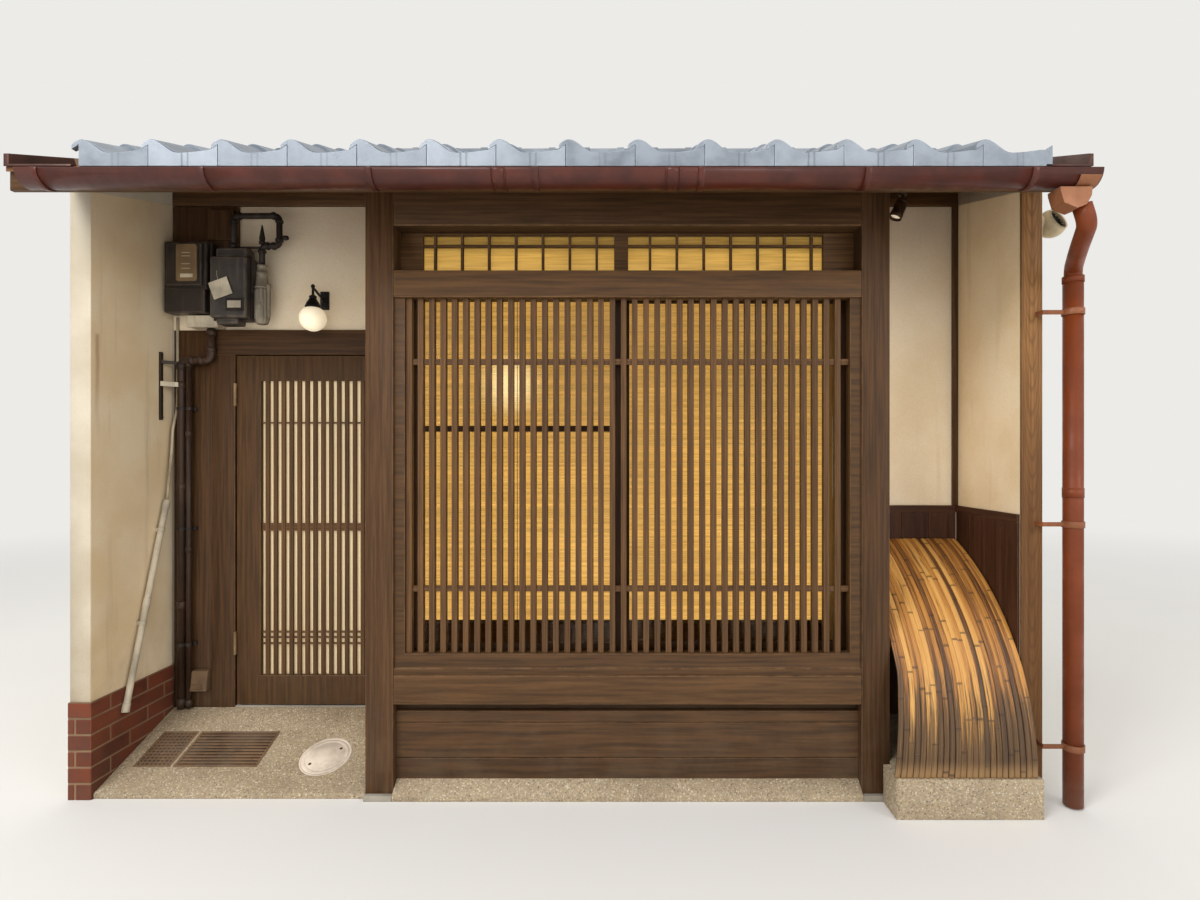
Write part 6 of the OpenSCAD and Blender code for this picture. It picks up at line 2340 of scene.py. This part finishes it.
@dataclass
class Riser:
    """The pair of pipes up the wall with couplings, clamps and the bracket beside them."""

    at: Pair = (-1921.0, 477.5)
    foot: float = 200.3
    elbow: float = 1940.0
    over: float = -1772.0
    top: float = 2099.7
    wide: Pair = (18.0, 13.5)
    wide_joints: tuple[float, ...] = (214, 700, 1290, 1800, 1894)
    slim_joints: tuple[float, ...] = (214, 980, 1560, 1910)
    clamp_z: tuple[float, ...] = (520, 1099, 1699)
    screw: Pairs = ((4.5, 0), (4, 2), (2, 3), (0, 3))
    bolt: Pairs = ((6, 0), (6, 3), (3, 5), (0, 5))

    def build(self) -> None:
        """Builds the pipes, the clamps and the strap."""
        x, y = self.at
        wide, slim = (x - 2, y), (x + 33, y + 4)
        self.build_pipes(wide, slim)
        self.build_clamps(wide, slim)
        self.build_strap(x, y)

    def build_pipes(self, wide: Pair, slim: Pair) -> None:
        """Builds both pipes with their couplings.

        Args:
            wide: The wide pipe's place.
            slim: The slim pipe's place.
        """
        pipe = Shape(116)
        y, elbow, (r, slim_r) = wide[1], self.elbow, self.wide
        bends = [(*wide, self.foot), (*wide, elbow), (self.over, y, elbow), (self.over, y, self.top)]
        pipe.tube(rounded(bends, 34, 8), r, 24)
        pipe.tube([(*slim, self.foot), (*slim, elbow)], slim_r, 20)
        for level in self.wide_joints:
            pipe.lathe((*wide, level), UP, collar(r, 3.5, 36), 24)
        for level in self.slim_joints:
            pipe.lathe((*slim, level), UP, collar(slim_r, 3, 28), 20)
        for x, z, run in ((self.at[0] + 38, elbow, EAST), (self.over - 34, elbow, (-1, 0, 0)),
                          (self.over, elbow + 40, UP), (self.over, 2066, UP)):
            pipe.lathe((x, y, z), run, collar(r, 4, 28), 24)
        pipe.place("gas_riser", PIPE_BROWN, "gas_grey")

    def build_clamps(self, wide: Pair, slim: Pair) -> None:
        """Builds the clamps round both pipes, and the bracket on the side wall.

        Args:
            wide: The wide pipe's place.
            slim: The slim pipe's place.
        """
        clamps = Shape(117)
        x, y = self.at
        for z in self.clamp_z:
            clamps.box((x - 34, x + 58), (498, 514), (z - 9, z + 9))
            for middle, r in zip((wide, slim), self.wide):
                clamps.prism(band(r + 3, r - 0.5, 170, 370, 20, middle), Axis.Z, z - 8, z + 8)
            for screw_x in (x - 29, x + 53):
                clamps.lathe((screw_x, 498, z), OUT, self.screw, 12)
        clamps.box((-1985, -1973), (405, 421), (1640, 1973))
        for z in (1960, 1653):
            clamps.lathe((-1973, 413, z), EAST, self.bolt, 12)
        clamps.prism([(-1982, 408), (-1975, 405), (x + 3, y - 8), (x - 4, y - 3)], Axis.Z, 1917, 1933)
        clamps.place("riser_clamps", PIPE_GREY, "gas_grey", bevel=0.8)

    def build_strap(self, x: float, y: float) -> None:
        """Builds the pale strap that ties the wide pipe to the bracket.

        Args:
            x: The pipes' place along the front.
            y: Their place in depth.
        """
        strap = Shape(118)
        strap.prism([(-1976, 403), (-1972, 403), (x - 2, y - 22), (x - 5, y - 20)], Axis.Z, 1806, 1830)
        rings = ((18.5, 1806), (21, 1807), (21, 1829), (18.5, 1830))
        strap.loft([[Vector((*p, z)) for p in arc(r, 0, 345, 23, (x - 2, y))] for r, z in rings], smooth=True)
        strap.place("riser_strap", IVORY, "white_plastic", bevel=0.6)


@dataclass
class Conduits:
    """The thin fixed conduit, the pale one that slants down the side wall, and the small low box."""

    x: float = -1960.2
    wall: float = -1985.0
    thin_r: float = 6.5
    thin: Pairs = ((505, 2160), (505, 1700), (470, 1610), (463, 1493), (428, 1236))
    r: float = 13.8
    knee: Pair = (428.0, 1246.0)
    foot: Pair = (159.0, 308.0)
    upper_end: Pairs = ((7, 0), (11, 2), (16, 12), (16, 44), (13.8, 46))
    lower_end: Pairs = ((13.8, 0), (16, 2), (16, 40), (13, 42), (9, 42))
    clip_shares: Pair = (0.15, 0.6)

    def build(self) -> None:
        """Builds both conduits and the box."""
        thin = Shape(119)
        thin.tube(rounded([(self.x, y, z) for y, z in self.thin], 60, 6), self.thin_r, 14)
        thin.place("thin_conduit", THIN, "white_plastic", "cable_conduit")
        self.build_slanting(Vector((self.x, *self.knee)), Vector((self.x, *self.foot)))
        self.build_box()

    def build_slanting(self, knee: Vector, foot: Vector) -> None:
        """Builds the slanting conduit with its ends, joint and clips.

        Args:
            knee: Its upper end.
            foot: Its lower end.
        """
        conduit = Shape(120)
        run = (foot - knee).normalized()
        conduit.tube([knee, foot], self.r, 24, tone=0.5)
        conduit.lathe(knee - run * 4, run, self.upper_end, 24, tone=0.7)
        conduit.lathe(foot - run * 40, run, self.lower_end, 24, tone=0.7)
        conduit.lathe(knee + run * 470, run, collar(self.r, 2, 52), 24, tone=0.3)
        for share in self.clip_shares:
            at = knee + (foot - knee) * share
            conduit.lathe(at - run * 9, run, collar(self.r, 2.6, 18, 1), 24, tone=0.4)
            conduit.box((self.wall, self.x), (at.y - 9, at.y + 9), (at.z - 9, at.z + 9), tone=0.4)
        conduit.place("slanting_conduit", IVORY, "white_plastic", bevel=0.8)

    def build_box(self) -> None:
        """Builds the small box low on the wall, whose face leans back."""
        x0, x1, y0, y1, z0, z1 = span("outlet_box")
        outlet = Shape(121)
        face = ((x0 - 2, y0 + 2, z0), (x1 - 2, y0 + 2, z0), (x1, y0 + 14, z1), (x0 + 14, y0 + 14, z1))
        rear = ((x0, y1, z0), (x1, y1, z0), (x1, y1, z1), (x0 + 6, y1, z1))
        outlet.loft([[Vector(p) for p in ring] for ring in (face, rear)], tone=0.4)
        outlet.box((x0 + 16, x1 - 22), (y0 - 1, y0 + 8), (z0 + 10, z0 + 36), tone=0.2)
        outlet.place("outlet_cover", DULL, "white_plastic", "outlet_box", bevel=4.0, segments=3)


@dataclass
class Vent:
    """The round hood on its neck, with a mouth darkened by painted shade and slats across it."""

    foot: Triple = (2075.0, 62.0, 2475.0)
    reach: float = 77.0
    tilt: float = 67.0
    turn: float = -63.0
    outer: float = 60.0
    inner: float = 55.0
    mouth: float = 34.0
    lip: Pairs = ((51, 35.5), (47, 35))
    neck: Pairs = ((52, 0), (52, 4), (50, 6), (36, 6), (34, 8), (34, 29), (0, 29))
    back: Pairs = ((52, 4), (52, 6), (0, 6))
    slat_r: float = 50.0
    slat_pitch: float = 13.0
    slat: Pairs = ((-6, -4), (-4, -4), (6, 4), (4, 4))

    def build(self) -> None:
        """Builds the hood, then the slats in its mouth."""
        hood = Shape(122)
        foot = Vector(self.foot)
        middle = foot + EAST * self.reach
        tilt, turn = math.radians(self.tilt), math.radians(self.turn)
        aim = Vector((math.sin(tilt) * math.cos(turn), math.sin(tilt) * math.sin(turn), math.cos(tilt)))
        edge = math.degrees(math.asin(self.mouth / self.outer))
        profile = arc(self.outer, -90, edge, 16) + list(self.lip) + arc(self.inner, edge, -90, 16)
        hood.lathe(middle, aim, profile, 44, tone=0.5)
        hood.lathe(foot, EAST, self.neck, 36, tone=0.5)
        hood.place("vent_cap", VENT, "white_plastic", "vent_hood")
        self.build_grille(middle, aim)

    def build_grille(self, middle: Vector, aim: Vector) -> None:
        """Builds a black disc at the back of the mouth, painted shade of the hood's hollow, and the slats across it.

        Args:
            middle: The hood's middle.
            aim: The way that its mouth looks.
        """
        grille = Shape(123)
        # Painted shade: a black disc closing the hood's hollow.
        grille.lathe(middle, aim, self.back, 36)
        side = aim.cross(UP).normalized()
        up = side.cross(aim)
        for rise in [self.slat_pitch * k for k in range(-3, 4)]:
            half = math.sqrt(self.slat_r ** 2 - rise ** 2)
            ends = [middle + aim * 14 + up * rise + side * end for end in (-half, half)]
            grille.loft([[end + aim * a + up * b for a, b in self.slat] for end in ends])
        grille.place("vent_grille", BLACK, "black_metal")


@dataclass
class Door:
    """The entrance: posts, head, hinges, and the hinged leaf with its lattice."""

    bars: int = 13
    bar_w: float = 23.0
    slim: float = 2.0
    rails: Pairs = ((1631, 8), (1104, 39), (573, 8), (546, 8), (515, 8))

    def build(self) -> None:
        """Builds and dresses the entrance."""
        for node in ("door_posts", "door_head"):
            dress(node, CEDAR, "timber", 3.0, 2)
        dress("frame_hinges", HINGE, "hinge_metal", 0.0)
        dress("door_leaf", BEAM, "timber", 2.5, 2, "front_door")
        dress("door_fittings", HINGE, "hinge_metal", 0.0, body="front_door")
        x0, x1, y0, y1, z0, z1 = span("door_lattice")
        pitch = (x1 - x0 + self.bar_w) / (self.bars + 1)
        first = x0 - self.bar_w + pitch
        bar, rails, sheet = Shape(101), Shape(102), Shape(103)
        bar.box((first + self.slim, first + self.bar_w - self.slim), (y0 + 3, y1), (z0, z1))
        bar.place("door_uprights", SLIM, "timber", "door_lattice", bevel=1.4, body="front_door",
                  rows=Rows(self.bars, (pitch, 0, 0), 41))
        for z, h in self.rails:
            rails.box((x0, x1), (y0 + 7, y1), (z - h / 2, z + h / 2))
        rails.place("door_cross_rails", SLIM, "timber", bevel=0.8, body="front_door")
        x0, x1, y0, y1, z0, z1 = span("door_panel")
        # The paper sheet glows with painted room light from behind.
        sheet.box((x0, x1), (y0, y1), (z0, z1), tone=0.6)
        sheet.place("door_sheet", SHOJI, "paper", "door_panel", body="front_door")


@dataclass(frozen=True)
class SoftLight:
    """A square light: where it hangs, what it looks at, its size and power, and if surfaces mirror it."""

    spot: Triple
    aim: Triple
    size: float
    power: float
    mirrored: bool = True


@dataclass
class Studio:
    """Pale floor, soft lights and the camera."""

    eye: Triple = (0.272, -2.750, 1.463)
    lens: float = 19.35
    sensor: float = 36.0
    shift: Pair = (-20 / 1200, 6 / 1200)
    background: Colour = (236, 235, 232)
    shaded: Colour = (232, 230, 227)
    sky: float = 0.85
    floor_half: float = 40.0
    fade: Pair = (6.0, 15.0)
    lamps: tuple[SoftLight, ...] = (
        SoftLight((-3.6, -4.6, 6.6), (0.0, 0.2, 1.0), 2.6, 330.0),
        SoftLight((6.6, -6.0, 4.6), (0.4, 0.2, 1.2), 3.4, 165.0),
        SoftLight((0.4, -10.0, 4.2), (0.2, 0.2, 1.5), 6.0, 230.0, mirrored=False),
        SoftLight((0.0, 10.0, 6.4), (0.0, 3.0, 1.6), 5.0, 230.0))

    def build(self) -> None:
        """Builds the studio."""
        scene = bpy.context.scene
        scene.view_settings.view_transform = "Standard"
        self.build_camera(scene)
        self.build_world(scene)
        self.build_floor()
        for i, soft in enumerate(self.lamps):
            self.build_light(scene, f"lamp_{i + 1}", soft)

    def build_camera(self, scene: bpy.types.Scene) -> None:
        """Puts the camera where the photograph's was, looking square at the front."""
        camera = bpy.data.objects.new("camera", bpy.data.cameras.new("camera"))
        scene.collection.objects.link(camera)
        camera.location = self.eye
        camera.rotation_euler = (math.pi / 2, 0.0, 0.0)
        camera.data.lens, camera.data.sensor_width = self.lens, self.sensor
        camera.data.shift_x, camera.data.shift_y = self.shift
        camera.data.clip_end = 200.0
        scene.camera = camera

    def build_light(self, scene: bpy.types.Scene, name: str, soft: SoftLight) -> None:
        """Hangs one of the soft lights.

        Args:
            scene: The scene that it lights.
            name: Its name.
            soft: What it is like.
        """
        light = bpy.data.lights.new(name, "AREA")
        light.shape, light.size, light.energy = "SQUARE", soft.size, soft.power
        lamp = bpy.data.objects.new(name, light)
        scene.collection.objects.link(lamp)
        lamp.location = soft.spot
        lamp.visible_glossy = lamp.visible_transmission = soft.mirrored
        lamp.rotation_euler = (Vector(soft.aim) - Vector(soft.spot)).to_track_quat("-Z", "Y").to_euler()

    def build_world(self, scene: bpy.types.Scene) -> None:
        """Lights from all round, and shows a pale background to the camera."""
        world = bpy.data.worlds.new("studio")
        scene.world = world
        world.use_nodes = True
        world.node_tree.nodes.clear()
        graph = Graph(world.node_tree)
        camera = graph.add("ShaderNodeLightPath", out="Is Camera Ray")
        through = graph.math("MAXIMUM", camera.beside("Is Glossy Ray"), camera.beside("Is Transmission Ray"))
        strength = graph.math("MAXIMUM", camera, through) * (1.0 - self.sky) + self.sky
        feeds = {"Color": linear(self.background), "Strength": strength}
        graph.node("ShaderNodeOutputWorld", {"Surface": graph.add("ShaderNodeBackground", feeds)})

    def build_floor(self) -> None:
        """Lays the pale floor, which keeps the shadow and fades into the background."""
        half = self.floor_half
        floor = bpy.data.meshes.new("floor")
        floor.from_pydata([(-half, -half, 0), (half, -half, 0), (half, half, 0), (-half, half, 0)], [], [(0, 1, 2, 3)])
        material = bpy.data.materials.new("studio_floor")
        material.use_nodes = True
        material.node_tree.nodes.clear()
        graph = Graph(material.node_tree)
        colour = graph.mix(graph.noise(graph.here, 0.8), self.background, self.shaded)
        near = graph.add("ShaderNodeBsdfPrincipled", {"Base Color": colour, "Roughness": 0.9})
        far = graph.add("ShaderNodeEmission", {"Color": linear(self.background)})
        share = graph.span(graph.length(graph.here), *self.fade)
        faded = graph.add("ShaderNodeMixShader", {0: share, 1: near, 2: far})
        graph.node("ShaderNodeOutputMaterial", {"Surface": faded})
        floor.materials.append(material)
        named("studio_floor", floor)


def main() -> None:
    """Builds the studio and every sub-assembly, in order."""
    logging.basicConfig(level=logging.INFO, format="%(name)s %(message)s")
    parts = (Studio(), Ground(), Walls(), Bay(), Windows(), Roof(), Rainwater(), Fence(), Lamp(), Spotlight(),
             ElectricMeter(), GasMeter(), GasLoop(), Riser(), Conduits(), Vent(), Door())
    for part in parts:
        part.build()
        log.info("%s is ready", type(part).__name__)


if __name__ == "__main__":
    main()
